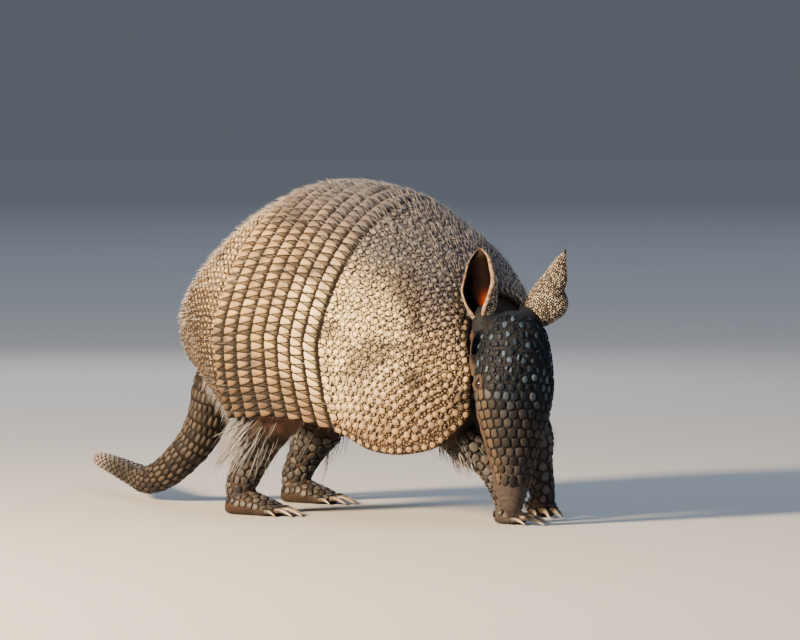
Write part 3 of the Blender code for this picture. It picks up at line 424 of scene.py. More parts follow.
def dome_rows(edge, end, flank_gap, top_gap, first, between):
    """Rows of places side by side with an edge station, running to an end station. Row k lies k gaps from the
    edge by the shell's own length, the gap growing from flank to top, so rows run out at the far margin.
    Along a row the places are the whole numbers of the integral of 1/gap from the middle of the back; the
    small ones lie between them. Each spot is station, share, gap and the radius as a share of the gap."""
    stations = np.linspace(edge, end, 160)
    lines = shell_at(stations[:, None], SHARES[None, :])
    away = np.concatenate([np.zeros((1, len(SHARES))),
                           np.cumsum(np.linalg.norm(np.diff(lines, axis=0), axis=2), axis=0)])
    gap = flank_gap + (top_gap - flank_gap) * ramp(0.75, 0.25, np.abs(SHARES))
    gap *= 1 + LOW_FLANK_WIDER * ramp(0.70, 0.92, np.abs(SHARES))
    big, small = [], []
    for k in range(int(away.max() / flank_gap) + 1):
        offset = 0.5 * (k % 2)
        for shift, along_row, radius in ((0.0, 0.0, DOME_SHARE), *between):
            reach = first + gap * (k + shift)
            i = np.clip(np.sum(away < reach, axis=0), 1, len(stations) - 1)
            column = np.arange(len(SHARES))
            part = (reach - away[i - 1, column]) / (away[i, column] - away[i - 1, column])
            station = stations[i - 1] + np.clip(part, 0, 1) * (stations[1] - stations[0])
            line = shell_at(station, SHARES)
            step = np.linalg.norm(np.diff(line, axis=0), axis=1) / (0.56 * (gap[1:] + gap[:-1]))
            run = np.concatenate([[0], np.cumsum(step)])
            run -= run[len(run) // 2]
            number = np.arange(math.floor(run[0]) - 1, math.ceil(run[-1]) + 2) + offset + along_row
            room = SIDE_ROOM - 0.7 * (DOME_SHARE - radius)
            number = number[(number > run[0] + room) & (number < run[-1] - room)]
            inside = np.interp(number, run, away[-1] - reach) > (radius + END_ROOM) * flank_gap
            number = number[inside & (np.interp(number, run, reach) > 0.3)]
            spots = np.stack([np.interp(number, run, station), np.interp(number, run, SHARES),
                              np.interp(number, run, gap), np.full(len(number), radius)], axis=1)
            (small if along_row else big).append(spots)
    for side in (-1, 1):
        line = shell_at(stations, side)
        run = run_of(line)
        wide = np.linalg.norm(line - shell_at(stations, side * 0.98), axis=1) / 0.02
        margin_gap = flank_gap * MARGIN_GAP
        reach = np.arange(0.62 * margin_gap, run[-1] - 0.2 * margin_gap, margin_gap)
        station = np.interp(reach, run, stations)
        share = side * (1 - SIDE_INSET * margin_gap / np.interp(reach, run, wide))
        big.append(np.stack(np.broadcast_arrays(station, share, flank_gap, DOME_SHARE * MARGIN_SIZE), axis=1))
    inward = math.copysign(END_INSET * flank_gap, edge - end)
    run = run_of(shell_at(end + inward, SHARES))
    count = int(run[-1] / flank_gap / MARGIN_GAP)
    share = np.interp((np.arange(1, count - 1) + 0.5) / count * run[-1], run, SHARES)
    big.append(np.stack(np.broadcast_arrays(end + inward, share, flank_gap, DOME_SHARE * END_SIZE), axis=1))
    return np.concatenate(big), np.concatenate(small)


def shield(name, node, slot, edge, end, flank_gap, top_gap, first, between, lift_at_edge, surface):
    """One shield: a thin sheet, its edge raised or sunk, with staggered domes on it and small ones between."""
    q, t = np.meshgrid(np.linspace(edge, end, 60), np.linspace(-1, 1, 161), indexing="ij")
    from_edge = np.abs(q - edge)
    thinner = (1.9 if lift_at_edge > 0 else 0.4) * ramp(3, 0, from_edge)
    sheet = slab(shell_at(q, t, -0.1 + lift_at_edge * ramp(EDGE_REACH, 0, from_edge)),
                 shell_at(q, t, -SHELL_THICK + thinner))
    big, small = dome_rows(edge, end, flank_gap, top_gap, first, between)
    made = []
    for spots, (high, sides, profile, loose) in zip((big, small), DOME_KINDS):
        station, share, gap, radius = spots.T
        near = ramp(EDGE_REACH, 0, np.abs(station - edge))
        frames = list(shell_frames(station, share, -0.12 + lift_at_edge * near))
        moves = dice.normal(0, loose, (2, len(spots), 1)) * gap[:, None]
        frames[0] = frames[0] + frames[1] * moves[0] + frames[2] * moves[1]
        full = np.where(radius == DOME_SHARE, 1 + 0.16 * ramp(0.62, 0.88, np.abs(share)), 1.0)
        made.append(domes(frames, gap * radius * full * dice.uniform(0.92, 1.06, len(spots)),
                          gap * high * dice.uniform(0.8, 1.2, len(spots)), 1 + 0.35 * near, sides, profile))
    (shape, kept), (small_shape, small_kept) = made
    piece(name, [(sheet, {"own": 0.3, "warm": 0.6, "sheet": 1.0}), (shape, kept)], surface, slot, (node,))
    small_kept = {"height": small_kept["height"] * 0.8, "own": small_kept["own"] * 0.6, "warm": 0.45}
    piece(name + "_small_scales", [(small_shape, small_kept)], surface, slot, (node,))


shield("shoulder_shield", "scapular_shield", "shell_scales", -EDGE_OVERHANG, SHIELD_END, flank_gap=4.4,
       top_gap=4.5, first=2.6, between=SMALL_PLACES, lift_at_edge=0.9, surface=shield_horn)

# Hip shield: the rear half of the armour, made like the front one but of smaller domes, which grow a
# little towards the top of the back. Its front edge is sunk under the last band's rear edge.
BANDS_REAR = -69.2
shield("hip_shield", "pelvic_shield", "shell_scales", BANDS_REAR + 0.8, STATIONS[0], flank_gap=3.05,
       top_gap=3.9, first=3.2, between=SMALL_PLACES[:2], lift_at_edge=-1.2, surface=shield_horn)

# Bands: eight hoops of bone under horn, hinged on skin, each rear edge standing over the next hoop's
# front. A row of long pale scales, broad and round at the rear, lies on each, with narrow dark ones
# pointing back between them. Each scale's front is painted dark as the shadow under the band ahead.
BAND_COUNT = 8
BAND_PITCH = -BANDS_REAR / BAND_COUNT
BAND_LAP = 1.5
BAND_FRONT_LIFT = -1.7
BAND_REAR_LIFT = 1.3
BAND_THICK = 1.7
WEDGE_GAP = 4.9
# Share of the scale's length, half width, height, and how far it stands beside its line.
WEDGE_RINGS = np.array([
    (0.0, 0.85, 0.10, 0), (0.12, 0.96, 0.32, 0), (0.27, 1.10, 0.38, 0), (0.42, 1.36, 0.46, 0),
    (0.66, 1.90, 0.64, 0), (0.86, 2.34, 0.80, 0), (0.96, 2.28, 0.66, 0), (1.0, 1.80, 0.25, 0)])
DARK_RINGS = np.array([
    (0.0, 0.66, 0.10, 0.76), (0.12, 0.62, 0.28, 0.70), (0.27, 0.54, 0.30, 0.62),
    (0.42, 0.43, 0.32, 0.51), (0.66, 0.20, 0.30, 0.27), (0.84, 0.07, 0.12, 0.10)])
WEDGE_SECTION = np.array([(-1, -0.9), (-0.95, 0.25), (-0.76, 0.78), (-0.28, 1.0), (0.28, 1.0), (0.76, 0.78),
                          (0.95, 0.25), (1, -0.9)])


def tubes(rings):
    """Closed tubes, one for each stack of rings in the array, with a flat face at each end."""
    count, rows, sides = rings.shape[:3]
    start = (np.arange(count) * rows * sides)[:, None, None]
    c = np.arange(sides)
    return rings.reshape(-1, 3), [(group[None] + start).reshape(-1, group.shape[1]) for group in
                                  (grid_faces(rows, sides, True), np.stack([c[::-1], c + (rows - 1) * sides]))]


def band_scales(rear, front, share, width, table, lift, beside=0.0):
    """Long scales lying on the shell from a front to a rear station: a section of eight points carried along,
    its width, height and distance beside its line from the table's rows, its points laid on the shell."""
    wide = np.linalg.norm(shell_at(rear, share + 0.005) - shell_at(rear, share - 0.005), axis=-1) / 0.01
    station = front[:, None] + (rear - front)[:, None] * table[None, :, 0]
    across = (width[:, None, None] * table[None, :, 1:2] * WEDGE_SECTION[None, None, :, 0]
              + beside * table[None, :, 3:4]) / wide[:, None, None]
    up = lift(table[:, 0])[None, :, None] + table[None, :, 2:3] * WEDGE_SECTION[None, None, :, 1]
    return tubes(shell_at(station[..., None], share[:, None, None] + across, up))


BAND_HORN = (0.50, 0.325, 0.135)
band_horn = finish("band_horn", horn(BAND_HORN), Specular_IOR_Level=0.30)


def tile_lift(share):
    """Lift of a hoop's face at a share of its length: sunk in front, level in the middle, raised behind."""
    return (-0.25 + BAND_FRONT_LIFT * ramp(0.42, -0.05, share) + BAND_REAR_LIFT * ramp(0.25, 0.85, share)
            - 0.5 * ramp(0.98, 1.2, share))


# Painted shadow: the height numbers at each scale's front are kept low, which colours the front dark like the
# seams.
SECTION_HEIGHT = np.clip(WEDGE_SECTION[:, 1], 0, 1)[None, :]
PALE_HEIGHT_AND_SHADE = (SECTION_HEIGHT * (0.05 + 0.95 * ramp(0.17, 0.60, WEDGE_RINGS[:, 0:1]))).ravel()
DARK_HEIGHT_AND_SHADE = (SECTION_HEIGHT * (0.05 + 0.50 * ramp(0.18, 0.55, DARK_RINGS[:, 0:1]))).ravel()
for band in range(BAND_COUNT):
    front = -band * BAND_PITCH
    rear = front - BAND_PITCH
    q = np.linspace(front + 0.5, rear - BAND_LAP + 0.2, 12)
    q, t = np.meshgrid(q, np.linspace(-1, 1, 161), indexing="ij")
    length = (front - q) / BAND_PITCH
    hoop = slab(shell_at(q, t, tile_lift(length)),
                shell_at(q, t, tile_lift(length) - BAND_THICK + 0.9 * ramp(0.9, 1.1, length)))
    run = run_of(shell_at(rear, SHARES))
    scales = round(run[-1] / WEDGE_GAP)
    number = (np.arange(scales) + 0.5 + dice.uniform(-0.06, 0.06, scales)) / scales
    share = np.interp(number * run[-1], run, SHARES)
    width = dice.uniform(0.93, 1.03, scales)
    rear_ends = rear - BAND_LAP - dice.uniform(-0.2, 0.35, scales)
    pale_shape = band_scales(rear_ends, np.full(scales, front - 0.6), share, width, WEDGE_RINGS,
                             lambda s: tile_lift(0.07 + s * (1.0 + BAND_LAP / BAND_PITCH)))
    between = np.interp((np.arange(scales - 1) + 1.0) / scales * run[-1], run, SHARES)
    ends = np.full(scales - 1, rear), np.full(scales - 1, front - 0.3)
    dark_shape = many([band_scales(*ends, between, np.full(scales - 1, 0.92), DARK_RINGS,
                                   lambda s: tile_lift(0.03 + s * 0.97), beside) for beside in (-1, 1)])
    low_down = ramp(0.78, 0.92, np.abs(share)) * (0.6 if band < 2 else 0.15)
    pale_kept = {"height": np.tile(PALE_HEIGHT_AND_SHADE, scales),
                 "own": np.repeat(dice.uniform(0, 1, scales), len(PALE_HEIGHT_AND_SHADE))}
    dark_kept = {"height": np.tile(DARK_HEIGHT_AND_SHADE, 2 * scales - 2), "warm": 0.5,
                 "own": np.repeat(dice.uniform(0, 0.8, 2 * scales - 2), len(DARK_HEIGHT_AND_SHADE))}
    pale_kept["warm"] = np.repeat(low_down + dice.uniform(0, 0.3, scales), len(PALE_HEIGHT_AND_SHADE))
    parts = [(hoop, {"own": 0.5}), (pale_shape, pale_kept), (dark_shape, dark_kept)]
    piece(f"band_{band + 1}", parts, band_horn, "band_scales", (f"shell_band_{band + 1}",))

# Skin: one leathery hide over belly, neck, head, legs, feet and tail, running under the shell. It is
# bare and ringed on the snout, folded at the neck and knees, and pinkish where no scale covers it.
BELLY = np.array([(-158, 8), (-145, 18), (-132, 16), (-110, 11), (-69, 6), (-35, 3), (0, 0), (22, -3), (45, -4),
                  (61, -3), (76, 0)], float)
UNDER_SHELL = -3.8
FRONT_MIDDLE = np.array([76.0, 0.0, 88.0])
REAR_MIDDLE = np.array([-114.0, 0.0, 74.0])
HEAD_BASE = np.array([93.0, -28.2, 113.0])
HEAD_TURN = math.radians(-33)
HEAD_LEAN = (0.049, -0.104)
# Distance along the head, half width, height above the axis, depth below it.
HEAD_RINGS = np.array([
    (-3, 5, 4, 5), (0, 11, 9, 11), (6, 15.6, 14.5, 17), (17, 19.2, 18, 19.5), (27, 20.8, 18.8, 20),
    (38, 21.6, 18.4, 19.8), (50, 20.2, 17, 18), (60, 17.6, 15.2, 15.6), (68, 15.2, 13.4, 13.2),
    (76, 12.6, 11.4, 10.8), (84, 10.5, 9.6, 9.1), (94, 8.4, 7.8, 7.4), (101, 6.5, 6.2, 5.9),
    (105.5, 4.6, 4.4, 4.2), (108, 2.1, 2.0, 1.8)])
NECK_PATH = ((58, -2, 85, 26), (72, -5, 87, 23), (82, -13, 90, 19.5), (89, -21, 91, 16), (92, -26, 91, 12))
# Tail: centre x y z and half width.
TAIL_PATH = ((-86, 0, 70, 11.0), (-100, 0, 75, 14.4), (-111, 0, 75.5, 14.8), (-118.5, 0, 70.5, 13.8),
             (-122.4, 0, 62.5, 12.6), (-124.8, 0, 54.5, 11.6), (-128, 0, 46.8, 11.0), (-133.5, 0, 37.5, 10.2),
             (-144, 0, 26.5, 9.2), (-156, 2, 17.8, 8.4), (-174, 10, 11.8, 7.4), (-195, 26, 12.6, 6.2),
             (-219, 45, 14.8, 5.2), (-243, 65, 16.3, 4.2), (-258, 78, 16.6, 3.0), (-263, 82, 16.5, 1.3))
# Legs: centre x y z and half width down the limb.
LEGS = {
    "foreleg_right": ((48, -36, 64, 13), (56.6, -34, 50.5, 11), (66, -30, 41, 10), (75.5, -26, 32.5, 8.6),
                      (81, -24, 23, 7.6), (84, -22.5, 14, 7.2), (85.5, -22, 7, 6.2)),
    "foreleg_left": ((54, 34, 68, 13), (63, 35, 54, 11.5), (70.5, 34, 42, 8.8), (72.2, 33, 31, 7.2),
                     (73, 33, 22.5, 7.0), (74, 33, 14, 7.0), (75, 32.5, 7, 6.2)),
    "hindleg_right": ((-50, -38, 72, 20), (-54, -42, 58, 17), (-61, -44, 46, 14), (-66, -44.5, 35, 11),
                      (-71, -44.5, 24, 9), (-75, -44.5, 15, 8.2), (-75, -44.5, 8, 7)),
    "hindleg_left": ((-70, 38, 72, 20), (-71, 42, 57, 17), (-79, 43, 43, 13.5), (-86, 43.5, 33, 11),
                     (-92, 44, 23, 9), (-96, 44, 14, 8.2), (-96, 44, 8, 7)),
}
LEG_FRONT = (1, 0, 0.2)
# Feet: heel x y, length, half width, height at the ankle, heading.
FEET = {"foreleg_right": (79, -22, 14, 8.6, 11, -0.04), "foreleg_left": (69.5, 36.5, 11.5, 8.4, 11, -0.70),
        "hindleg_right": (-83, -44.5, 34, 9.5, 13, 0.0), "hindleg_left": (-104, 44, 34, 9.5, 13, 0.0)}
FOOT_RINGS = np.array([(0, 0.45, 0.55), (0.08, 0.8, 0.85), (0.35, 1.0, 1.0), (0.75, 1.0, 0.72),
                       (1.0, 0.8, 0.45)])
# Toes: place across the foot, reach past it, claw length and half width.
FORE_TOES = ((0.72, 0.0, 9, 2.5), (0.26, 3.0, 15, 3.1), (-0.26, 3.0, 15, 3.1), (-0.72, 0.0, 9, 2.5))
HIND_TOES = ((0.8, -3.0, 7, 2.3), (0.42, 1.5, 11, 2.8), (0.0, 3.0, 12, 3.0), (-0.42, 1.5, 11, 2.8),
             (-0.8, -3.0, 7, 2.3))
TOES_FROM = 0.72
TOE_SPLAY = 0.22
UPWARD = np.array([0.0, 0.0, 1.0])
SKIN_CELL = 0.0014


def head_frame():
    """Axes of the head: along to the nose, out to its right, up to its crown."""
    along = unit(np.array([HEAD_LEAN[0], HEAD_LEAN[1], -1.0]))
    up = np.array([math.cos(HEAD_TURN), math.sin(HEAD_TURN), 0.0])
    up = unit(up - np.dot(up, along) * along)
    right = np.cross(along, up)
    return along, right * (1 if right[1] < 0 else -1), up


ALONG, RIGHT, CROWN = head_frame()


def head_point(along, right, up):
    """Body-frame point from distances along, out to the right of and above the head's axis."""
    along, right, up = (np.asarray(v, float)[..., None] for v in (along, right, up))
    return HEAD_BASE + along * ALONG + right * RIGHT + up * CROWN


def head_skin(along, turn, lift=0.0):
    """Point of the head: an oval round its axis, turn 0 at the crown and a quarter turn at the right side."""
    half, high, deep = np.moveaxis(smooth_curve(HEAD_RINGS[:, 0], HEAD_RINGS[:, 1:], along), -1, 0)
    rise = np.cos(turn)
    return head_point(along, (half + lift) * np.sin(turn), np.where(rise > 0, high, deep) * rise + lift * rise)


def path_frame(path, share, up):
    """Centre, half width, direction, side and lift of a curved path at shares of its length."""
    path = np.asarray(path, float)
    length = run_of(path[:, :3])
    at = np.asarray(share, float) * length[-1]
    centre = smooth_curve(length, path, at)
    along = unit(smooth_curve(length, path[:, :3], np.minimum(at + 0.5, length[-1]))
                 - smooth_curve(length, path[:, :3], np.maximum(at - 0.5, 0)))
    side = unit(np.cross(np.broadcast_to(np.asarray(up, float), along.shape), along))
    return centre[..., :3], centre[..., 3], along, side, np.cross(along, side)


def on_path(path, share, turn, up, lift=0.0):
    """Point on the round surface of a curved path, raised by lift."""
    share, turn, lift = np.broadcast_arrays(np.clip(share, 0, 1), turn, lift)
    centre, half, along, side, high = path_frame(path, share, up)
    return centre + (half + lift)[..., None] * (np.cos(turn)[..., None] * side + np.sin(turn)[..., None] * high)


def tube(path, rows, sides, up=(0, 0, 1)):
    """Stack of rings round a curved path, as an array of one tube."""
    share, turn = np.meshgrid(np.linspace(0, 1, rows), circle(sides), indexing="ij")
    return on_path(path, share, turn, up)[None]


def flat_rings(middle, side, half, height, floor):
    """Upright rings of a foot or toe, their undersides pressed flat at the floor's height."""
    turn = circle(16)
    rings = (middle[:, None] + side * (np.cos(turn)[None, :, None] * half[:, None, None])
             + UPWARD * (np.sin(turn)[None, :, None] * height[:, None, None]))
    rings[..., 2] = np.maximum(rings[..., 2], floor)
    return rings[None]


def foot_frame(name):
    """Heel, forward and side directions of one foot with its sizes."""
    x, y, length, half, height, heading = FEET[name]
    forward = np.array([math.cos(heading), math.sin(heading), 0.0])
    return np.array([x, y, 0.0]), forward, np.array([-forward[1], forward[0], 0.0]), length, half, height


def toes_of(name):
    """Root, heading, side, reach, claw length and half width of each toe of a foot."""
    heel, forward, side, length, half, height = foot_frame(name)
    for place, reach, claw, thick in (FORE_TOES if "fore" in name else HIND_TOES):
        heading = unit(forward + side * place * TOE_SPLAY)
        yield (heel + forward * length * TOES_FROM + side * half * place, heading,
               np.array([-heading[1], heading[0], 0.0]), length * (1 - TOES_FROM) + reach, claw, thick)


def torso_rings():
    """Rings of the body: the shell's inside above, closed below by a hanging half-round belly."""
    stations = np.linspace(STATIONS[0], SHIELD_END, 60)
    across = np.linspace(-1, 1, 61)
    top = shell_at(stations[:, None], across[None, :], UNDER_SHELL)
    turn = np.linspace(0, math.pi, 26)[1:-1]
    near, far = top[:, :1], top[:, -1:]
    belly = (near + far) / 2 + (far - near) / 2 * np.cos(turn)[None, :, None]
    belly[..., 2] -= np.interp(stations, BELLY[:, 0], BELLY[:, 1])[:, None] * np.sin(turn)
    rings = np.concatenate([top, belly], axis=1)
    ends = [[rings[0] * s + REAR_MIDDLE * (1 - s) for s in (0.2, 0.6)],
            [rings[-1] * s + FRONT_MIDDLE * (1 - s) for s in (0.55, 0.2)]]
    return np.concatenate([ends[0], rings, ends[1]])[None]


TOWARD = np.array([0.53, -0.848, 0.0])
ACROSS = np.array([0.848, 0.53, 0.0])
EARS = {"ear_right": ((3.0, 14.5, -6.5), (-0.08, 1.0, -0.36), (-0.5, 0.0, 0.85), 42.0, 10.4),
        "ear_left": ((2.0, -9.5, -4.0), (0.60, 0.83, 0.0), (0.5, 0.0, -0.8), 44.0, 11.6)}


def ear_frame(name):
    """Root, axis, opening and side directions, length and half width of one ear."""
    root, axis, opening, length, half = EARS[name]
    lean = np.stack([ACROSS, UPWARD, TOWARD])
    axis, opening = unit(np.array(axis) @ lean), unit(np.array(opening) @ lean)
    opening = unit(opening - np.dot(opening, axis) * axis)
    return head_point(*root), axis, opening, np.cross(axis, opening), length, half


# Folds of skin: places along, out to the side of and above the head's axis, and half width. Two hang
# from the ear's root down behind the cheek, one runs from the eye's rear corner to the corner of the
# mouth and on as the lip.
FOLDS = (((-3, 15, -8, 1.0), (8, 20, -8, 1.3), (22, 22.6, -7.5, 1.4), (33, 21.8, -7.0, 1.1)),
         ((-4, 12, -13, 1.5), (12, 19.0, -15, 1.7), (30, 21, -15.5, 1.7), (46, 18.5, -14, 1.3)),
         ((41, 20.4, -3.0, 1.0), (50, 20.1, -4.0, 1.2), (62, 16.8, -4.6, 1.3), (74, 12.9, -4.4, 1.3),
          (88, 9.8, -3.6, 1.3), (99, 7.2, -2.8, 1.2), (104, 5.0, -2.0, 1.0)))


def fold_path(fold, side):
    """Path of a fold in the body's frame."""
    fold = np.array(fold, float)
    return np.column_stack([head_point(fold[:, 0], side * fold[:, 1], fold[:, 2]), fold[:, 3]])


def skin_mesh():
    """All the body's tubes joined by a fine voxel skin and smoothed."""
    a, t = np.meshgrid(np.linspace(HEAD_RINGS[0, 0], HEAD_RINGS[-1, 0], 80), circle(48), indexing="ij")
    parts = [torso_rings(), tube(NECK_PATH, 20, 32), head_skin(a, t)[None], tube(TAIL_PATH, 120, 28)]
    for name, path in LEGS.items():
        limb = tube(path, 30, 26, LEG_FRONT)
        limb[..., 2] = np.maximum(limb[..., 2], 0.7)
        parts.append(limb)
        heel, forward, side, length, half, height = foot_frame(name)
        share, wide, high = smooth_curve(FOOT_RINGS[:, 0], FOOT_RINGS, np.linspace(0, 1, 16)).T
        middle = heel + forward * (length * share)[:, None] + np.array([0, 0, 0.42]) * (height * high)[:, None]
        parts.append(flat_rings(middle, side, half * wide, 0.58 * height * high, 0.0))
        for root, heading, across, reach, claw, thick in toes_of(name):
            out = np.linspace(0, 1, 9)
            middle = root + heading * (reach * out)[:, None] + np.array([0, 0, 0.95 * thick])
            size = thick * (1 - 0.12 * out + 0.10 * np.sin(out * 3 * math.pi)) * ramp(1.12, 0.9, out)**0.5
            parts.append(flat_rings(middle, across, size, size * 0.95, 0.35))
    for name in EARS:
        base, axis, opening, side, length, half = ear_frame(name)
        stalk = np.array([(*(base - axis * 7), half * 0.75), (*base, half * 0.72),
                          (*(base + axis * 5), half * 0.60), (*(base + axis * 9), half * 0.30)])
        parts.append(tube(stalk, 10, 20, opening))
    parts += [tube(fold_path(fold, side), 24, 12, CROWN) for fold in FOLDS for side in (1, -1)]
    draft = placed("hide_draft", mesh_of("hide_draft", many([tubes(rings) for rings in parts])))
    remesh = draft.modifiers.new("skin", "REMESH")
    remesh.mode = "VOXEL"
    remesh.voxel_size = SKIN_CELL
    remesh.use_smooth_shade = True
    relax = draft.modifiers.new("relax", "SMOOTH")
    relax.factor = 0.5
    relax.iterations = 5
    graph = bpy.context.evaluated_depsgraph_get()
    made = bpy.data.meshes.new_from_object(draft.evaluated_get(graph))
    bpy.data.objects.remove(draft)
    return made


def mesh_arrays(mesh):
    """Points in body-frame millimetres and outward normals of a mesh."""
    points, normals = (np.zeros(len(mesh.vertices) * 3) for _ in range(2))
    mesh.vertices.foreach_get("co", points)
    mesh.vertices.foreach_get("normal", normals)
    return points.reshape(-1, 3) / MM - ORIGIN_SHIFT, normals.reshape(-1, 3)


def near_path(points, path, reach):
    """Share along a path of its nearest place to each point, and 1 on it falling to 0 at reach widths."""
    share = np.linspace(0, 1, 60)
    centre, half, *_ = path_frame(path, share, (0, 0, 1))
    away = np.linalg.norm(points[:, None] - centre[None], axis=2)
    nearest = np.argmin(away / half, axis=1)
    return share[nearest], ramp(reach, reach * 0.8, away[np.arange(len(points)), nearest] / half[nearest])


MOUTH_TURN = math.radians(118)
NOSTRIL = np.array([106.6, 2.5, 1.6])
hide = skin_mesh()
points, normals = mesh_arrays(hide)
in_head = (points - HEAD_BASE) @ np.stack([ALONG, RIGHT, CROWN], axis=1)
along, turn = in_head[:, 0], np.arctan2(in_head[:, 1], in_head[:, 2])
radius = np.hypot(in_head[:, 1], in_head[:, 2])
on_head = ramp(30, 24, radius) * ramp(-4, 3, along)
snout = on_head * ramp(72, 86, along)
ripple = np.sin(2 * math.pi * (along + 0.9 * np.sin(2 * turn)) / 3.3)
move = 0.42 * snout * ripple * ramp(107, 103, along)
beside_mouth = (np.abs(np.abs(turn) - MOUTH_TURN)) * radius
mouth = on_head * ramp(64, 68, along) * ramp(105, 102, along) * np.exp(-(beside_mouth / 0.9)**2)
move -= 0.9 * mouth
nostril = np.exp(-np.sum((in_head - NOSTRIL)**2, axis=1) / 1.3**2)
nostril += np.exp(-np.sum((in_head - NOSTRIL * [1, -1, 1])**2, axis=1) / 1.3**2)
move -= 1.2 * nostril
neck_share, on_neck = near_path(points, NECK_PATH, 1.35)
around = np.arctan2(points[:, 1] + 15, points[:, 2] - 88)
move += 0.7 * on_neck * (1 - on_head) * np.sin(2 * math.pi * neck_share * 7 + 1.5 * np.sin(3 * around))
legs_on = np.zeros(len(points))
for name, path in LEGS.items():
    leg_share, on_leg = near_path(points, path, 1.3)
    legs_on = np.maximum(legs_on, on_leg * ramp(0.0, 0.12, leg_share) * ramp(0.34, 0.18, leg_share)
                         * (0.6 if "hind" in name else 0.15))
    move += 0.35 * on_leg * ramp(0.1, 0.3, leg_share) * ramp(0.95, 0.8, leg_share) * np.sin(
        leg_share * 60 + 1.2 * np.sin(5 * np.arctan2(normals[:, 1], normals[:, 0])))
on_fold = np.zeros(len(points))
for fold in FOLDS:
    for side in (1, -1):
        on_fold = np.maximum(on_fold, near_path(points, fold_path(fold, side), 1.5)[1])
on_crown = ramp(40, 26, np.linalg.norm(points - HEAD_BASE - 4 * CROWN, axis=1)) * ramp(88, 98, points[:, 2])
on_crown = np.maximum(on_crown, on_head * (1 - snout) * ramp(-2, 6, along)) * (1 - on_fold)
hide.vertices.foreach_set("co", ((points + normals * move[:, None] + ORIGIN_SHIFT) * MM).ravel())
hide.update()

PINK_SKIN = (0.17, 0.082, 0.050)
DUSKY_AND_SHADED_SKIN = (0.020, 0.013, 0.010)
SHADED_HEAD_SKIN = (0.002, 0.0025, 0.004)
SHADED_HEAD_PEBBLE = (0.007, 0.0105, 0.0165)
SNOUT_SKIN = (0.043, 0.033, 0.031)
FOLD_SKIN = (0.085, 0.046, 0.029)
MOUTH_AND_NOSTRIL_SHADE = (0.03, 0.02, 0.018)


def hide_paint(place):
    """Dusky brown hide, partly darkened as painted shade under the shell, pinker on the legs, brown on the
    folds, grey on the snout, painted darker in the mouth and nostrils as the shade in them, nearly black, blue
    and pebbled between the head's plates as painted sky shade, creased and pored all over."""
    cloud, fine = place.noise(60.0, 4.0), place.noise(700.0, 5.0, 0.6)
    crease = place.cells(1250.0)
    # The dusky base is the hide's own dark brown, made darker still as painted shade under the shell and behind
    # the head.
    base = (cloud.rise(0.3, 0.7) * 0.35).colours(DUSKY_AND_SHADED_SKIN, shade(PINK_SKIN, 0.4))
    base = (place.kept("limb") * 0.85).colours(base, PINK_SKIN)
    # Painted shade: the skin between the head's plates is nearly black and bluish, as in the cool shade of the
    # sky.
    base = place.kept("head").colours(base, crease.rise(0.06, 0.30).colours(SHADED_HEAD_SKIN, SHADED_HEAD_PEBBLE))
    base = place.kept("snout").colours(base, SNOUT_SKIN)
    base = (place.kept("fold") * cloud.rise(0.25, 0.6) * 0.85).colours(base, FOLD_SKIN)
    # Painted shade: the mouth slit and nostrils are coloured dark as the shade in their recesses.
    base = place.kept("dark").colours(base, MOUTH_AND_NOSTRIL_SHADE)
    base = (place.noise(240.0).rise(0.5, 0.8) * 0.35).colours(base, shade(DUSKY_AND_SHADED_SKIN, 0.8))
    lined = crease.rise(0.0, 0.12)
    return {"Base Color": (lined * 0.22 + 0.78).colours(shade(DUSKY_AND_SHADED_SKIN, 0.45), base),
            "Roughness": 0.62 + (fine - 0.5) * 0.3,
            "Normal": place.bumped(lined * 0.22 + fine + cloud, 0.0005)}


leather = finish("hide_leather", hide_paint, Specular_IOR_Level=0.20)
# The dark number marks the mouth and nostrils for their painted shade.
piece("hide", hide, leather, "body_skin",
      ("torso", "neck", "head", "foreleg_left", "foreleg_right", "hindleg_left", "hindleg_right", "tail"),
      limb=legs_on, head=on_crown, snout=snout, fold=on_fold, dark=np.clip(mouth + nostril, 0, 1))

# Head plates: a pavement of flat horn plates grown in the skin from the crown down the face and cheeks,
# small on the crown and longer towards the snout, each with a dark groove of skin round it.
EYE_ALONG = 37.5
EYE_OUT = 19.4
EYE_UP = 0.6
EYE_SIZE = 3.3
PLATE_GROOVE = 0.36
PLATE_SIDES = 16
PLATE_PROFILE = ((1.0, -0.7), (1.0, 0.25), (0.90, 0.72), (0.62, 0.93), (0.0, 1.0))
PLATE_HIGH = 0.85
PLATE_REACH = 6.4
GRAIN_GAP = 1.55
GRAIN_SIZE = 0.72
GRAIN_HIGH = 0.42
# The head's colours are darker than its horn's own, and bluer on the crown, as painted shade from the cool sky.
SKY_SHADED_BLUE_GREY = (0.0035, 0.0075, 0.0155)
SKY_SHADED_PALE_BLUE = (0.062, 0.094, 0.138)
DARK_PLATE = (0.0065, 0.0068, 0.0082)
TAN_PLATE = (0.034, 0.030, 0.028)
LIT_EDGE_PLATE = (0.072, 0.050, 0.034)
SKY_SHADED_GRAIN = (0.0032, 0.0056, 0.0105)
HEAD_DUST = (0.010, 0.009, 0.009)
HEAD_SEAM = (0.0022, 0.0018, 0.0018)


def scattered(make, low, high, gap_at, tries, keep):
    """Places thrown at random on a surface of two parameters and kept where no earlier one is nearer than
    the local gap, so that they pack evenly."""
    spots = dice.uniform(low, high, (tries, 2))
    places = make(spots[:, 0], spots[:, 1])
    gaps = gap_at(spots[:, 0], spots[:, 1])
    chosen = np.zeros(0, int)
    for k in np.flatnonzero(keep(places)):
        if not len(chosen) or np.min(np.linalg.norm(places[chosen] - places[k], axis=1)) > gaps[k]:
            chosen = np.append(chosen, k)
    return spots[chosen], places[chosen], gaps[chosen]


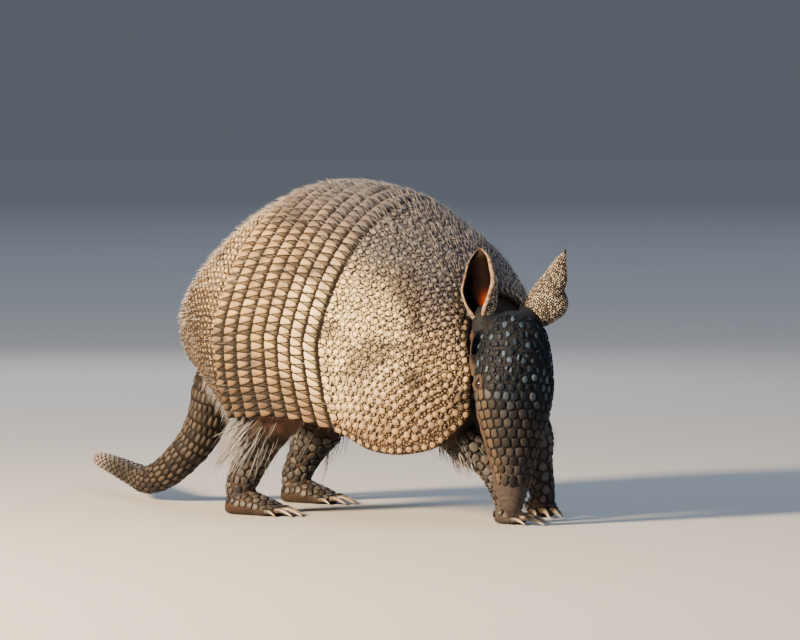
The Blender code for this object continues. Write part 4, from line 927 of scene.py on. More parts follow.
def plates(make, spots, places, gaps, rise, shrink=1.0):
    """Plates of a pavement: each outline is the polar cell of its place among its neighbours, the distance to
    the half-way line in every direction less half a groove, rounded, carried up through a domed profile. A
    plate shrunk below 1 draws in from its cell, less along the first direction, to a long oval."""
    step = 1e-3
    u, v = spots.T
    du = (make(u + step, v) - make(u - step, v)) / (2 * step)
    dv = (make(u, v + step) - make(u, v - step)) / (2 * step)
    normal = unit(np.cross(du, dv))
    first = unit(du)
    second = np.cross(normal, first)
    turn = circle(PLATE_SIDES)
    offset = places[None] - places[:, None]
    away = np.linalg.norm(offset, axis=2) + np.eye(len(spots)) * 1e3
    near = np.argsort(away, axis=1)[:, :10]
    to = np.take_along_axis(offset, near[..., None], axis=1)
    x, y = np.sum(to * first[:, None], axis=2), np.sum(to * second[:, None], axis=2)
    apart = np.hypot(x, y)
    facing = (x[:, :, None] * np.cos(turn) + y[:, :, None] * np.sin(turn)) / apart[:, :, None]
    wall = np.where(facing > 0.15, (apart[:, :, None] / 2 - PLATE_GROOVE) / np.maximum(facing, 0.15), 99)
    radius = np.minimum(gaps[:, None] * 0.72, wall.min(axis=1))
    radius = (radius + 0.14 * (np.roll(radius, 1, axis=1) + np.roll(radius, -1, axis=1))) / 1.28
    less = 1 - np.broadcast_to(shrink, len(spots))[:, None]
    radius = radius / np.sqrt((np.cos(turn) / (1 - 0.6 * less))**2 + (np.sin(turn) / (1 - 1.1 * less))**2)
    metric = np.stack([np.sum(du * first, 1), np.sum(dv * first, 1), np.sum(du * second, 1),
                       np.sum(dv * second, 1)], axis=1).reshape(-1, 2, 2)
    inverse = np.linalg.inv(metric)
    rings = []
    for share, high in PLATE_PROFILE[:-1]:
        flat = radius[..., None] * share * np.stack([np.cos(turn), np.sin(turn)], axis=1)[None]
        move = np.einsum("nij,nkj->nki", inverse, flat)
        rings.append(make(u[:, None] + move[..., 0], v[:, None] + move[..., 1], rise * high))
    return capped(rings, make(u, v, rise * PLATE_PROFILE[-1][1]), PLATE_PROFILE)


eyes = [head_point(EYE_ALONG, side * EYE_OUT, EYE_UP) for side in (1, -1)]
ear_roots = [ear_frame(name)[0] for name in EARS]


def frames_on(make, u, v, du, dv, lift):
    """Places on a surface of two parameters, raised by lift, with their directions along the first and the
    second, each the difference between two near places, and outwards, the cross product of those two."""
    ahead = unit(make(u + du, v) - make(u - du, v))
    beside = unit(make(u, v + dv) - make(u, v - dv))
    out = np.cross(ahead, beside)
    out = out * np.sign(np.sum(out * (make(u, v, 1.0) - make(u, v)), axis=1))[:, None]
    return make(u, v, lift), ahead, beside, out


def clear_of_eyes_and_ears(places):
    """True where no eye and no ear's root is near."""
    clear = np.ones(len(places), bool)
    for spots, room in ((eyes, 6.4), (ear_roots, 7.8)):
        for spot in spots:
            clear &= np.linalg.norm(places - spot, axis=1) > room
    return clear


def plate_rows(low, high, half_turn):
    """Staggered rows of places down the head from low to high, closer on the crown and towards the snout."""
    spots, at, row = [], low, 0
    turns = np.linspace(-half_turn, half_turn, 200)
    while at < high:
        run = run_of(head_skin(np.full(200, at), turns))
        gap = 5.0 - 0.8 * float(ramp(66, 88, at))
        want = run[-1] / 2 + (np.arange(-12, 13) + 0.5 * (row % 2)) * gap
        want = want[(want > 0) & (want < run[-1])]
        spots.append(np.stack([np.full(len(want), at), np.interp(want, run, turns)], axis=1))
        at += 4.7 + 0.3 * float(ramp(30, 52, at)) - 0.9 * float(ramp(72, 90, at))
        row += 1
    spots = np.concatenate(spots)
    loose = 1 + 1.5 * ramp(44, 26, spots[:, :1])
    return spots + dice.normal(0, 1, spots.shape) * np.array([0.42, 0.022]) * loose


spots = plate_rows(1.5, 89.0, 2.05)
places = head_skin(*spots.T)
clear = clear_of_eyes_and_ears(places)
spots, places = spots[clear], places[clear]
gaps = np.full(len(spots), PLATE_REACH)
drawn_in = ramp(52, 30, spots[:, 0]) * dice.uniform(0.26, 0.60, len(spots))
shape, kept = plates(head_skin, spots, places, gaps, PLATE_HIGH, 1 - drawn_in)
kept["down"] = np.clip((shape[0] - HEAD_BASE) @ ALONG / 100, 0, 1)
# Painted light: a warm row down each edge of the face, where light falls along the head's side.
lit_edge_row = np.exp(-((np.abs(spots[:, 1]) - 1.42) / 0.30)**2) * ramp(26, 44, spots[:, 0])
kept["warm"] = np.repeat(lit_edge_row, len(shape[0]) // len(spots))
grain_spots, grain_places, _ = scattered(
    head_skin, (0.0, -1.9), (44.0, 1.9), lambda a, t: np.full(len(a), GRAIN_GAP), 5000, clear_of_eyes_and_ears)
apart = np.linalg.norm(grain_places[:, None] - places[None], axis=2).min(axis=1)
grain_spots = grain_spots[(apart > 2.1) | (grain_spots[:, 0] < 2)].T
grains, grain_kept = domes(frames_on(head_skin, *grain_spots, 0.5, 0.02, -0.1), GRAIN_SIZE, GRAIN_HIGH, 1.1, 6,
                           SMALL_DOME)
grain_kept |= {"height": grain_kept["height"] * 0.7, "grain": 1.0}


def scale_looks(place, fine, face, seam, ragged, low, high, rough, worn, pores=0.00022):
    """Looks of horn scales: the seam's colour low down and the face's above it, with a ragged border, rough in
    the seams, worn smoother on top, with fine pores."""
    height = place.kept("height")
    return {"Base Color": (height + (fine - 0.5) * ragged).rise(low, high).colours(seam, face),
            "Roughness": rough - height * worn + (fine - 0.5) * 0.2,
            "Normal": place.bumped(fine + place.noise(2400.0) * 0.4, pores)}


def head_paint(place):
    """Pale oval bosses among dark blue-grey grains on the crown, tan and grey plates on the lower face, all
    darkened and the crown blued as painted shade, and a warm row down each edge of the face as painted light."""
    own, cloud, fine = place.kept("own"), place.noise(55.0, 4.0), place.noise(800.0, 4.0)
    low = (place.kept("down") + (cloud - 0.5) * 0.3).rise(0.30, 0.62)
    boss = (own + (cloud - 0.5) * 0.8).rise(0.40, 1.15).colours(SKY_SHADED_BLUE_GREY, SKY_SHADED_PALE_BLUE)
    face = low.colours(boss, own.colours(DARK_PLATE, TAN_PLATE))
    face = place.kept("warm").colours(face, LIT_EDGE_PLATE)
    face = place.kept("grain").colours(face, SKY_SHADED_GRAIN)
    face = ((fine - 0.5) * 1.6).rise(0.0, 1.0).colours(face, HEAD_DUST)
    return scale_looks(place, fine, face, HEAD_SEAM, 0.3, 0.12, 0.62, 0.66, 0.16)


head_horn = finish("head_horn", head_paint, Specular_IOR_Level=0.10)
piece("head_plates", [(shape, kept), (grains, grain_kept)], head_horn, "head_scales", ("head",))

# Ears: tall thin leathery cups on short stalks, closely pebbled with tiny scales outside, smooth and dark red
# inside, darker deep in the hollow as painted shade, with an orange patch painted glowing as light through the
# thin skin, and a thick rounded pale rim.
EAR_THICK = 1.3
EAR_PEBBLE = 0.52
EAR_ROW_GAP = 1.12
EAR_PEBBLE_GAP = 1.25
EAR_SEAM = (0.011, 0.009, 0.008)
EAR_DUSTY_SEAM = (0.034, 0.027, 0.023)
GREY_PEBBLE = (0.13, 0.105, 0.085)
PALE_PEBBLE = (0.58, 0.49, 0.40)
BROWN_RIM = (0.085, 0.052, 0.034)
PALE_RIM = (0.33, 0.225, 0.145)
EAR_HOLLOW_SHADE = (0.0012, 0.0004, 0.0003)
EAR_RED = (0.006, 0.0014, 0.0006)
EAR_PAINTED_GLOW = (0.12, 0.014, 0.0010)
# Share of the way up, half width, half the arc's turn in degrees, shift of the middle to the side.
EAR_LEAVES = {
    "ear_right": np.array([
        (0.0, 0.50, 158, 0.0), (0.10, 0.66, 145, 0.0), (0.24, 0.88, 122, 0.0), (0.44, 0.98, 103, 0.0),
        (0.62, 0.90, 92, 0.0), (0.78, 0.70, 88, 0.0), (0.90, 0.46, 84, 0.0), (1.0, 0.15, 78, 0.0)]),
    "ear_left": np.array([
        (0.0, 0.62, 150, 0.10), (0.12, 0.80, 135, 0.02), (0.26, 0.95, 112, -0.08), (0.42, 0.97, 92, -0.10),
        (0.52, 0.84, 84, -0.02), (0.575, 0.66, 80, 0.12), (0.62, 0.64, 80, 0.14), (0.68, 0.60, 80, 0.18),
        (0.80, 0.38, 76, 0.34), (0.91, 0.18, 72, 0.46), (1.0, 0.05, 70, 0.56)]),
}


def ear_point(name, share, across, lift=0.0):
    """Point of an ear's outer sheet, raised outwards by lift: arcs across it set along a straight axis, their
    radius, reach and shift read from the leaf's table."""
    base, axis, opening, side, length, half = ear_frame(name)
    share, across, lift = np.broadcast_arrays(share, across, lift)
    table = EAR_LEAVES[name]
    wide, reach, shift = np.moveaxis(smooth_curve(table[:, 0], table[:, 1:], share), -1, 0)
    turn = np.radians(reach) * across
    radius = np.maximum(half * wide + lift, half * wide * 0.35) + 0.3 * np.sin(share * 17) * np.abs(across)**3
    return (base + axis * (length * share)[..., None] + opening * (0.35 * half * wide)[..., None]
            + side * (shift * half + np.sin(turn) * radius)[..., None]
            - opening * (np.cos(turn) * radius * 0.85)[..., None])


def ear_paint(place):
    """Pale pebbles with dark seams outside, a worn brown rim, dark red skin inside painted darker in the hollow
    as shade, and an orange patch painted glowing as light through the thin skin.
    """
    inside, rim, height = place.kept("inside"), place.kept("rim"), place.kept("height")
    fine, cloud = place.noise(1500.0), place.noise(120.0, 4.0)
    skin = place.noise(900.0, 4.0).rise(0.35, 0.65).colours(EAR_SEAM, EAR_DUSTY_SEAM)
    pebble = (cloud + (place.kept("own") - 0.5) * 0.6).rise(0.3, 0.75)
    base = height.rise(0.2, 0.75).colours(skin, pebble.colours(GREY_PEBBLE, PALE_PEBBLE))
    worn = place.noise(500.0, 4.0).rise(0.35, 0.65).colours(BROWN_RIM, PALE_RIM)
    base = (rim * 0.9).colours(base, worn)
    inner = (cloud.rise(0.3, 0.7) * 0.6).colours(EAR_HOLLOW_SHADE, EAR_RED)
    base = inside.colours(base, inner)
    base = place.kept("glow").colours(base, EAR_PAINTED_GLOW)
    return {"Base Color": base, "Roughness": 0.6 + (fine - 0.5) * 0.25,
            "Normal": place.bumped(fine + place.noise(700.0) * (1 - inside), 0.0004)}


ear_leather = finish("ear_leather", ear_paint, Subsurface_Weight=0.10, Subsurface_Scale=0.002,
                     Specular_IOR_Level=0.03)
for name in EARS:
    base, axis, opening, side, length, half = ear_frame(name)
    share = (1 - (1 - np.linspace(0, 1, 60))**1.15)[:, None]
    across = np.linspace(-1, 1, 57)[None]
    thin = EAR_THICK * (1 - 0.5 * across**2) * ramp(1.02, 0.7, share)**0.5
    cup = slab(ear_point(name, share, across), ear_point(name, share, across, -thin))
    # Painted shade: the inside darkens towards the middle of the hollow.
    deep = (1 - np.abs(across)**5) * ramp(1.0, 0.86, share)
    # Painted light: an orange patch inside the near ear stands for light shining through its thin skin.
    glow = np.exp(-((share - 0.30) / 0.11)**2 - ((across + 0.06) / 0.17)**2) * (name == "ear_right")
    parts = [(cup, {"inside": np.append(np.zeros(deep.size), deep),
                    "glow": np.append(np.zeros(glow.size), glow), "own": 0.5})]
    way = np.concatenate([np.linspace(0.04, 1, 70), np.linspace(1, 0.04, 70)[1:]])
    edge = np.concatenate([np.ones(70), -np.ones(69)])
    line = (ear_point(name, way, edge) + ear_point(name, way, edge, -EAR_THICK * 0.5)) / 2
    line = np.concatenate([line[:1], (line[:-2] + line[1:-1] + line[2:]) / 3, line[-1:]])
    ahead = unit(np.gradient(line, axis=0))
    out = unit(np.cross(ahead, np.broadcast_to(opening, line.shape)))
    thick = (np.where(edge > 0, 1.25, 0.65) if name == "ear_right" else 0.6) * ramp(1.06, 0.6, way)**0.6
    thick = (thick * ramp(-0.15, 0.12, way))[:, None, None]
    turn = circle(12)[None, :, None]
    round_edge = np.cos(turn) * out[:, None] + np.sin(turn) * np.cross(ahead, out)[:, None]
    parts.append((tubes((line[:, None] + thick * round_edge)[None]),
                  {"rim": 1.0 if name == "ear_right" else 0.4, "height": 0.4, "own": 0.5}))
    rows, table = [], EAR_LEAVES[name]
    for k, up in enumerate(np.arange(0.05, 0.97, EAR_ROW_GAP / length)):
        arc = 2 * math.radians(float(np.interp(up, table[:, 0], table[:, 2])))
        count = int(arc * half * float(np.interp(up, table[:, 0], table[:, 1])) / EAR_PEBBLE_GAP)
        if count > 2:
            over = ((np.arange(count) + 0.25 + 0.5 * (k % 2)) / count) * 1.9 - 0.95
            rows.append(np.stack([np.full(count, up), over]))
    rows = np.concatenate(rows, axis=1)
    up, over = rows + dice.normal(0, 1, rows.shape) * [[0.003], [0.008]]
    parts.append(domes(frames_on(lambda *at: ear_point(name, *at), up, over, 0.01, 0.01, -0.05),
                       EAR_PEBBLE * dice.uniform(0.8, 1.1, len(up)), 0.34, 1.1, 6, SMALL_DOME))
    piece(name + "_cup", parts, ear_leather, "ear_skin", (name,))

# Eyes: small dark wet balls set in the sides of the head. Each lies between two thick lids of bare skin,
# which grow out of the head's hide and meet in corners fore and aft.
LID_LONG = 4.4
LID_HIGH = 3.2
LID_RINGS = 48
LID_SIDES = 12


def ball(centre, size, rows=24, sides=32):
    """Ball: rings from pole to pole."""
    lat, lon = np.meshgrid(np.linspace(0.02, math.pi - 0.02, rows), circle(sides), indexing="ij")
    out = np.stack([np.sin(lat) * np.cos(lon), np.sin(lat) * np.sin(lon), np.cos(lat)], axis=-1)
    return tubes((centre + out * size)[None])


def eye_paint(place):
    """Almost black wet brown."""
    return {"Base Color": place.noise(900.0).colours((0.004, 0.0028, 0.0024), (0.010, 0.007, 0.006))}


eye_wet = finish("eye_wet", eye_paint, Roughness=0.10, Specular_IOR_Level=0.15, Coat_Weight=0.55,
                 Coat_Roughness=0.03)
for side, word in ((1, "right"), (-1, "left")):
    centre = head_point(EYE_ALONG, side * EYE_OUT, EYE_UP)
    piece(f"eyeball_{word}", [(ball(centre + 0.6 * side * RIGHT, EYE_SIZE), {})], eye_wet, "eye_surface",
          (f"eye_{word}",))
    turn = circle(LID_RINGS)
    almond = np.sin(turn) * (1 - 0.45 * np.abs(np.cos(turn))**3)
    line = head_point(EYE_ALONG + LID_LONG * np.cos(turn),
                      side * (EYE_OUT + 2.9 - 1.6 * np.cos(turn)**2 - 0.9 * np.maximum(np.sin(turn), 0)),
                      EYE_UP + LID_HIGH * almond)
    ahead = unit(np.roll(line, -1, axis=0) - np.roll(line, 1, axis=0))
    across = unit(np.cross(ahead, RIGHT * side))
    tall = np.cross(across, ahead)
    small = circle(LID_SIDES)[None, :, None]
    fat = (1.30 - 0.20 * ramp(0.2, 1.0, np.sin(turn)) + 0.16 * np.sin(7 * turn))[:, None, None]
    rings = line[:, None] + fat * (np.cos(small) * across[:, None] * 1.15 + np.sin(small) * tall[:, None])
    at = np.arange(LID_RINGS * LID_SIDES).reshape(LID_RINGS, LID_SIDES)
    ahead_at = np.roll(at, -1, 0)
    faces = np.stack([at, np.roll(at, -1, 1), np.roll(ahead_at, -1, 1), ahead_at], -1).reshape(-1, 4)
    piece(f"lids_{word}", [((rings.reshape(-1, 3), [faces]), {"limb": 0.22, "snout": 0.5})], leather,
          "body_skin", ("head",))

# Tail rings: sleeves of bony scutes under horn, set in the tail's skin from the hip shield's edge on. Each
# has two rows of long scales, and its rear edge stands over the next sleeve's front.
TAIL_RINGS = 18
TAIL_FROM = 0.085
TAIL_TO = 0.92
TAIL_UP = (0, 0, 1)
SLEEVE_LAP = 0.0025
SLEEVE_ROWS = 8
SLEEVE_SIDES = 40
SCUTE_GAP = 3.5
# The two rows of a sleeve: place along it, half length as a share of it, offset round the tail, height.
SCUTE_ROWS = ((0.27, 0.24, 0.0, 0.7), (0.74, 0.30, 0.5, 0.95))
TAIL_DARK = (0.011, 0.0085, 0.007)
TAIL_WORN = (0.055, 0.042, 0.032)
TAIL_BROWN = (0.016, 0.010, 0.007)
TAIL_TIP_PALE = (0.40, 0.34, 0.29)
TAIL_SEAM = (0.006, 0.0038, 0.0025)


def on_tail_at(share, turn, lift=0.0):
    """Point of the tail's surface."""
    return on_path(TAIL_PATH, share, turn, TAIL_UP, lift)


def tail_row(share, count, offset, reach, size, rise):
    """Long domes side by side round the tail at one share of its length."""
    turn = (np.arange(count) + offset) / count * 2 * math.pi
    place, forward, _, normal = frames_on(on_tail_at, np.full(count, share), turn, 0.01, 0.05, 0.1)
    return domes((place, forward, np.cross(normal, forward), normal), size, rise, reach / size, 10, BIG_DOME)


tail_length = np.sum(np.linalg.norm(np.diff(np.array(TAIL_PATH, float)[:, :3], axis=0), axis=1))
edges = np.linspace(TAIL_FROM, TAIL_TO, TAIL_RINGS + 1)**0.93
parts = []
for k in range(TAIL_RINGS):
    length = (edges[k + 1] - edges[k]) * tail_length
    share = np.linspace(edges[k], edges[k + 1] + SLEEVE_LAP, SLEEVE_ROWS)[:, None]
    lift = np.linspace(-0.3, 0.75 - 0.3 * k / TAIL_RINGS, SLEEVE_ROWS)[:, None]
    sleeve = on_tail_at(share, circle(SLEEVE_SIDES)[None], lift)
    parts.append((tubes(sleeve[None]), {"height": 0.12, "own": 0.5}))
    half = float(path_frame(TAIL_PATH, edges[k], TAIL_UP)[1])
    count = max(10, round(2 * math.pi * half / SCUTE_GAP))
    wide = 2 * math.pi * (half + 0.4) / count / 2
    for at, part, offset, rise in SCUTE_ROWS:
        parts.append(tail_row(edges[k] + (edges[k + 1] - edges[k]) * at, count, offset, length * part,
                              np.full(count, wide * 0.88), rise))


def tail_paint(place):
    """Mottled brown horn with pale worn tops, paler towards the tip."""
    own, cloud, fine = place.kept("own"), place.noise(70.0, 4.0), place.noise(900.0, 4.0)
    tip = (place.part(1) + (cloud - 0.5) * 0.01).rise(0.03, 0.075)
    face = (own * 0.6 + cloud * 0.6).rise(0.3, 0.85).colours(TAIL_DARK, TAIL_WORN)
    face = (place.noise(160.0).rise(0.5, 0.7) * 0.6).colours(face, TAIL_BROWN)
    face = (tip * 0.65).colours(face, TAIL_TIP_PALE)
    return scale_looks(place, fine, face, TAIL_SEAM, 0.5, 0.10, 0.75, 0.7, 0.2)


tail_horn = finish("tail_horn", tail_paint, Specular_IOR_Level=0.22)
piece("tail_rings", parts, tail_horn, "tail_scales", ("tail",))

# Tail tip: past the last sleeve the skin carries only small flat horn scales, in staggered rows that
# grow smaller towards the point.
TIP_SCALE_GAP = 2.3
TIP_ROW_GAP = 0.0105
parts = []
for k, share in enumerate(np.arange(edges[-1] + 0.010, 0.992, TIP_ROW_GAP)):
    half = float(path_frame(TAIL_PATH, share, TAIL_UP)[1])
    count = max(6, round(2 * math.pi * half / TIP_SCALE_GAP))
    parts.append(tail_row(share, count, 0.5 * (k % 2), 1.5, np.full(count, math.pi * half / count * 0.9), 0.3))
piece("tail_tip_scales", parts, tail_horn, "tail_scales", ("tail",))

# Leg scutes: round horn scales grown in the skin of the lower legs and the tops of the feet, largest in
# front, with bare skin behind. Each toe has a row of them up to its claw.
# The grey of the leg horn is partly its own colour and partly painted shade, darkened for the legs under the
# shell.
LEG_GREY = (0.014, 0.014, 0.017)
LEG_TAN = (0.070, 0.062, 0.056)
LEG_SEAM = (0.004, 0.003, 0.0026)
LEG_SCUTE_HIGH = 0.6
FOOT_SCUTE_HIGH = 0.55


def leg_paint(place):
    """Blue-grey horn, worn and dusty tan at the tops."""
    own, cloud, fine = place.kept("own"), place.noise(80.0, 4.0), place.noise(900.0, 4.0)
    face = (own * 0.7 + cloud * 0.5).rise(0.2, 0.9).colours(LEG_GREY, LEG_TAN)
    return scale_looks(place, fine, face, LEG_SEAM, 0.3, 0.15, 0.8, 0.68, 0.2, 0.0002)


leg_horn = finish("leg_horn", leg_paint, Specular_IOR_Level=0.22)
for name, path in LEGS.items():
    def on_leg_at(share, turn, lift=0.0):
        """Point of this leg's surface."""
        return on_path(path, share, turn, LEG_FRONT, lift)

    top = 0.34 if "fore" in name else 0.45
    found = scattered(on_leg_at, (top, math.radians(-40)), (0.99, math.radians(220)),
                      lambda s, t: 3.4 + 0.9 * np.sin(t), 2600, lambda p: p[:, 2] > 4)
    parts = [plates(on_leg_at, *found, LEG_SCUTE_HIGH)]
    heel, forward, side, length, half, tall = foot_frame(name)

    def on_foot_at(share, turn, lift=0.0):
        """Point of this foot's upper surface: half-ovals across it from heel to toes."""
        share, turn, lift = np.broadcast_arrays(share, turn, lift)
        part, wide, high = np.moveaxis(smooth_curve(FOOT_RINGS[:, 0], FOOT_RINGS, share), -1, 0)
        return (heel + forward * (length * share)[..., None]
                + side * (np.cos(turn) * (half * wide + lift))[..., None]
                + UPWARD * (0.42 * tall * high + np.sin(turn) * (0.58 * tall * high + lift))[..., None])

    found = scattered(on_foot_at, (0.12, 0.15), (0.96, math.pi - 0.15),
                      lambda s, t: 2.9 + 0.6 * np.sin(t), 1200, lambda p: p[:, 2] > 2)
    parts.append(plates(on_foot_at, *found, FOOT_SCUTE_HIGH))
    for root, heading, across, reach, claw, thick in toes_of(name):
        out = np.linspace(0.2, 0.95, 5)
        place = root + heading * (reach * out)[:, None] + UPWARD * thick * 1.85
        frames = [place] + [np.broadcast_to(way, place.shape) for way in (heading, across, UPWARD)]
        parts.append(domes(frames, thick * 0.62, FOOT_SCUTE_HIGH, 1.25, 10, BIG_DOME, 0.05))
    piece(name + "_scutes", parts, leg_horn, "leg_scales", (name,))

# Claws: long blunt curved nails of solid horn, rooted in the toes' ends, four in front and five behind.
# They are dark where they grow and worn pale at the tips.
CLAW_COLOUR = (0.070, 0.050, 0.036)
WORN_CLAW = (0.40, 0.33, 0.25)
CLAW_SIDES = 12


def claw_paint(place):
    """Dark streaked horn, paler and rougher towards the worn tip."""
    streak = place.noise(420.0, 5.0)
    worn = (place.kept("tip") + (streak - 0.5) * 0.4).rise(0.3, 1.0)
    return {"Base Color": worn.colours(CLAW_COLOUR, WORN_CLAW), "Roughness": 0.36 + worn * 0.25,
            "Normal": place.bumped(streak, 0.00015)}


claw_horn = finish("claw_horn", claw_paint)
for name in LEGS:
    rings, tips = [], []
    for root, heading, across, reach, claw, thick in toes_of(name):
        out = np.linspace(0, 1, 14)
        size = thick * 0.62 * (1 - 0.86 * out**1.5)
        middle = (root + heading * (reach - 1.5 + (claw + 1.2) * out)[:, None]
                  + UPWARD * (thick * (1.05 + 0.25 * np.sin(out * math.pi)) * (1 - out**2)
                              + 0.5 * out)[:, None])
        turn = circle(CLAW_SIDES)[None, :, None]
        ring = (middle[:, None] + across * np.cos(turn) * size[:, None, None] * 0.9
                + UPWARD * np.sin(turn) * size[:, None, None])
        ring[..., 2] = np.maximum(ring[..., 2], 0.12)
        rings.append(ring)
        tips.append(np.repeat(out, CLAW_SIDES))
    piece(name + "_claws", [(tubes(np.array(rings)), {"tip": np.concatenate(tips)})], claw_horn, "leg_scales",
          (name,))

# Hair: thin pale bristles rooted in the skin. Short ones stand between the scales all over the back, long
# soft ones hang from the thighs, the rear margin and the belly, and a few grow on the forelegs.
HAIR_SHARES = np.array([0.0, 0.3, 0.65, 1.0])
HAIR_STRAY = 0.10
HAIR_ROOT = 0.25
HAIR_RISE = 0.42
HAIR_TAPER = 0.85
PATCH = 0.0015


def hair_paint(place):
    """Short hair in pale horn colours, long hair from dark brown to bluish white, each of its own shade."""
    own = place.kept("own")
    short = own.colours((0.24, 0.19, 0.15), (0.66, 0.60, 0.54))
    long = own.colours((0.035, 0.029, 0.027), (0.33, 0.32, 0.335))
    return {"Base Color": place.kept("long").colours(short, long), "Roughness": 0.55 + place.noise(800.0) * 0.2}


hair_fibre = finish("hair_fibre", hair_paint)


def hairs(name, nodes, roots, out, lie, length, thick, spots, long):
    """Closed three-sided tapering strands, each rooted a little under the skin, rising and bending over to its
    lie. Its OFBake patch is small and lies round its root's place on the unwrapped skin."""
    count, s = len(roots), HAIR_SHARES[None, :, None]
    lie = unit(lie + dice.normal(0, HAIR_STRAY, lie.shape))
    wave = np.cross(out, lie) * dice.normal(0, HAIR_STRAY, (count, 1))
    line = roots[:, None] - HAIR_ROOT * out[:, None] + length[:, None, None] * (
        lie[:, None] * s + out[:, None] * (HAIR_RISE * s * (1 - 0.75 * s)) + wave[:, None] * s**2)
    across = unit(np.cross(out, lie))[:, None, None]
    high = np.cross(lie, across[:, 0, 0])[:, None, None]
    turn = circle(3)
    fat = (np.broadcast_to(thick, count)[:, None] * (1 - HAIR_TAPER * HAIR_SHARES**1.4))[:, :, None, None]
    rings = line[:, :, None] + fat * (across * np.cos(turn)[:, None] + high * np.sin(turn)[:, None])
    mesh = mesh_of(name, tubes(rings))
    patch = spots[:, None, None] + PATCH * np.stack(np.broadcast_arrays(
        np.cos(turn)[None, :], (2 * HAIR_SHARES - 1)[:, None]), axis=-1)[None]
    loops = np.zeros(len(mesh.loops), np.int32)
    mesh.loops.foreach_get("vertex_index", loops)
    patch = patch.reshape(-1, 2)[loops].astype(np.float32)
    mesh.uv_layers.new(name="OFBake").data.foreach_set("uv", patch.ravel())
    own = np.repeat(dice.uniform(0, 1, count), rings.shape[1] * 3)
    piece(name, mesh, hair_fibre, "body_skin", nodes, own=own, long=np.full(len(own), long))


def shell_patches(station, share):
    """Places of OFBake patches by the shell's own two parameters, each from 0 to 1."""
    return np.stack([(station - STATIONS[0]) / (STATIONS[-1] - STATIONS[0]), (share + 1) / 2], axis=1)


BACK_HAIRS = 7600
BACK_HAIR_THICK = 0.10
BACK_HAIR_SPREAD = 0.36
HAIRY_FROM, HAIRY_TO = -156, 74
station = dice.uniform(HAIRY_FROM, HAIRY_TO, BACK_HAIRS)
share = np.clip(dice.normal(0, BACK_HAIR_SPREAD, BACK_HAIRS), -0.9, 0.9)
roots, forward, side, normal = shell_frames(station, share)
hairs("back_hair", ("scapular_shield", "pelvic_shield"), roots, normal, 0.55 * normal - forward,
      dice.uniform(2.6, 5.4, BACK_HAIRS), BACK_HAIR_THICK, shell_patches(station, share), 0.3)

REAR_HAIRS = 400
FRONT_HAIRS = 220
REAR_HAIRS_END = -55
MARGIN_HAIRS = REAR_HAIRS + FRONT_HAIRS
MARGIN_HAIR_THICK = 0.13
station = np.concatenate([dice.uniform(HAIRY_FROM, REAR_HAIRS_END, REAR_HAIRS),
                          dice.uniform(REAR_HAIRS_END, 60, FRONT_HAIRS)])
share = np.where(dice.uniform(0, 1, MARGIN_HAIRS) < 0.5, -1, 1) * dice.uniform(0.93, 1.0, MARGIN_HAIRS)
roots, forward, side, normal = shell_frames(station, share, UNDER_SHELL - 0.6)
hairs("margin_hair", ("torso",), roots, normal, np.array([-0.35, 0, -1.0]) + 0.12 * normal,
      np.where(station < REAR_HAIRS_END, dice.uniform(6, 12, MARGIN_HAIRS), dice.uniform(3, 6, MARGIN_HAIRS)),
      MARGIN_HAIR_THICK, shell_patches(station, share), 0.9)

for name, path in LEGS.items():
    count = 420 if "hind" in name else 170
    at = dice.uniform(0.10, 0.62 if "hind" in name else 0.5, count)
    middle = math.pi * (1.25 if "right" in name else 1.75)
    turn = middle + dice.normal(0, 0.8, count)
    centre, half, ahead, *_ = path_frame(path, at, LEG_FRONT)
    roots = on_path(path, at, turn, LEG_FRONT)
    out = unit(roots - centre)
    low = ramp(62, 50, roots[:, 2])
    length = (dice.uniform(13, 27, count) if "hind" in name else dice.uniform(5, 11, count)) * (1 - 0.35 * at)
    length = np.minimum(length, (roots[:, 2] - 3) * 0.95) * (0.25 + 0.75 * low)
    hairs(name + "_hair", (name,), roots, out, ahead + np.array([-0.22, 0, -0.25]) + 0.22 * out, length,
          dice.uniform(0.14, 0.30, count), np.stack([at, (turn / (2 * math.pi)) % 1.0], axis=1), 1.0)

# Floor, lights and camera: a round pale floor that runs into the background, one warm soft lamp low on
# the right, cool soft light from above, and a camera at the height of the shell.
FLOOR_RADIUS = 14.0
FLOOR_SIDES = 120
turn = circle(FLOOR_SIDES)
rim = np.column_stack([FLOOR_RADIUS * np.cos(turn), FLOOR_RADIUS * np.sin(turn), np.full(FLOOR_SIDES, -0.0002)])
floor_mesh = bpy.data.meshes.new("floor")
floor_mesh.from_pydata(rim.tolist(), [], [tuple(range(FLOOR_SIDES))])
floor = placed("floor", floor_mesh)


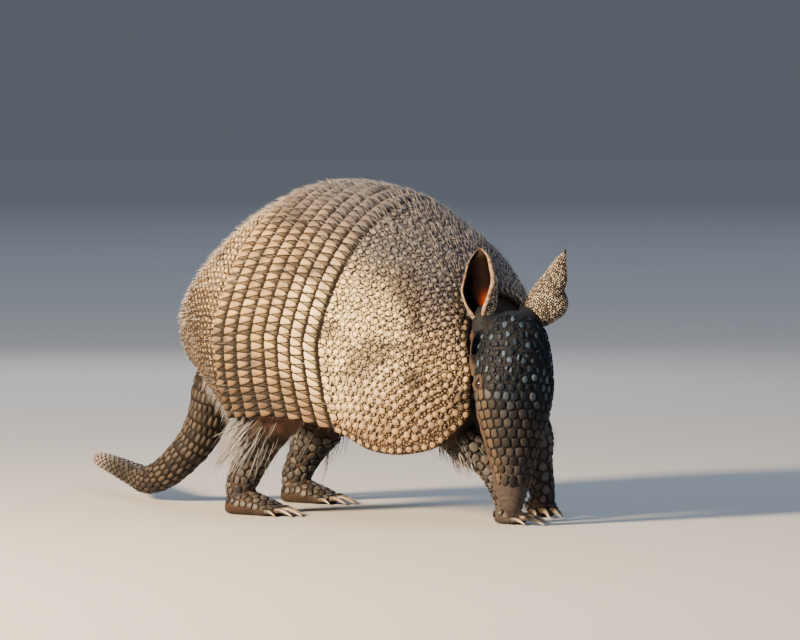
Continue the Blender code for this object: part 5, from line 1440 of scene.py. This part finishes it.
def floor_paint(place):
    """Pale matt floor, darker far out so that it runs into the background."""
    x, y = place.part(0), place.part(1)
    near = place.noise(3.0).colours((0.45, 0.44, 0.425), (0.48, 0.47, 0.455))
    return {"Base Color": (x * x + y * y).rise(2.0, 70.0).colours(near, (0.285, 0.265, 0.25))}


floor_mesh.materials.append(finish("floor_paint", floor_paint, Roughness=0.9, Specular_IOR_Level=0.1))


def lamp(name, kind, place, **settings):
    """Soft lamp or sun at a place, turned towards the animal's middle."""
    light = bpy.data.lights.new(name, kind)
    for key, value in settings.items():
        setattr(light, key, value)
    made = placed(name, light)
    made.location = place
    made.rotation_euler = (AIM - Vector(place)).to_track_quat("-Z", "Y").to_euler()


AIM = Vector((0.05, 0.0, 0.09))
lamp("key", "AREA", (-0.42, -1.32, 0.60), size=0.26, energy=132.0, color=(1.0, 0.76, 0.48))
lamp("sky", "SUN", (0.45, 0.35, 1.5), angle=1.3, energy=1.5, color=(0.60, 0.76, 1.0))
lamp("side", "AREA", (1.5, -0.4, 0.7), size=0.9, energy=3.0, color=(0.66, 0.80, 1.0))
lamp("rim", "AREA", (-1.0, 1.2, 0.8), size=0.6, energy=7.0, color=(0.80, 0.88, 1.0))
world = bpy.data.worlds.new("studio")
world.use_nodes = True
background = world.node_tree.nodes["Background"].inputs
background["Color"].default_value = (0.70, 0.79, 0.95, 1.0)
background["Strength"].default_value = 0.15
bpy.context.scene.world = world

CAMERA_AZIMUTH = math.radians(32)
CAMERA_RISE = math.radians(2.5)
CAMERA_AWAY = 3.0
CAMERA_TARGET = Vector((0.0745, -0.0002, 0.108))
lens = bpy.data.cameras.new("camera")
lens.lens = 243.0
lens.sensor_width = 36.0
lens.clip_end = 100.0
camera = placed("camera", lens)
toward = Vector((math.sin(CAMERA_AZIMUTH) * math.cos(CAMERA_RISE),
                 -math.cos(CAMERA_AZIMUTH) * math.cos(CAMERA_RISE), math.sin(CAMERA_RISE)))
camera.location = CAMERA_TARGET + toward * CAMERA_AWAY
camera.rotation_euler = (-toward).to_track_quat("-Z", "Y").to_euler()
bpy.context.scene.camera = camera
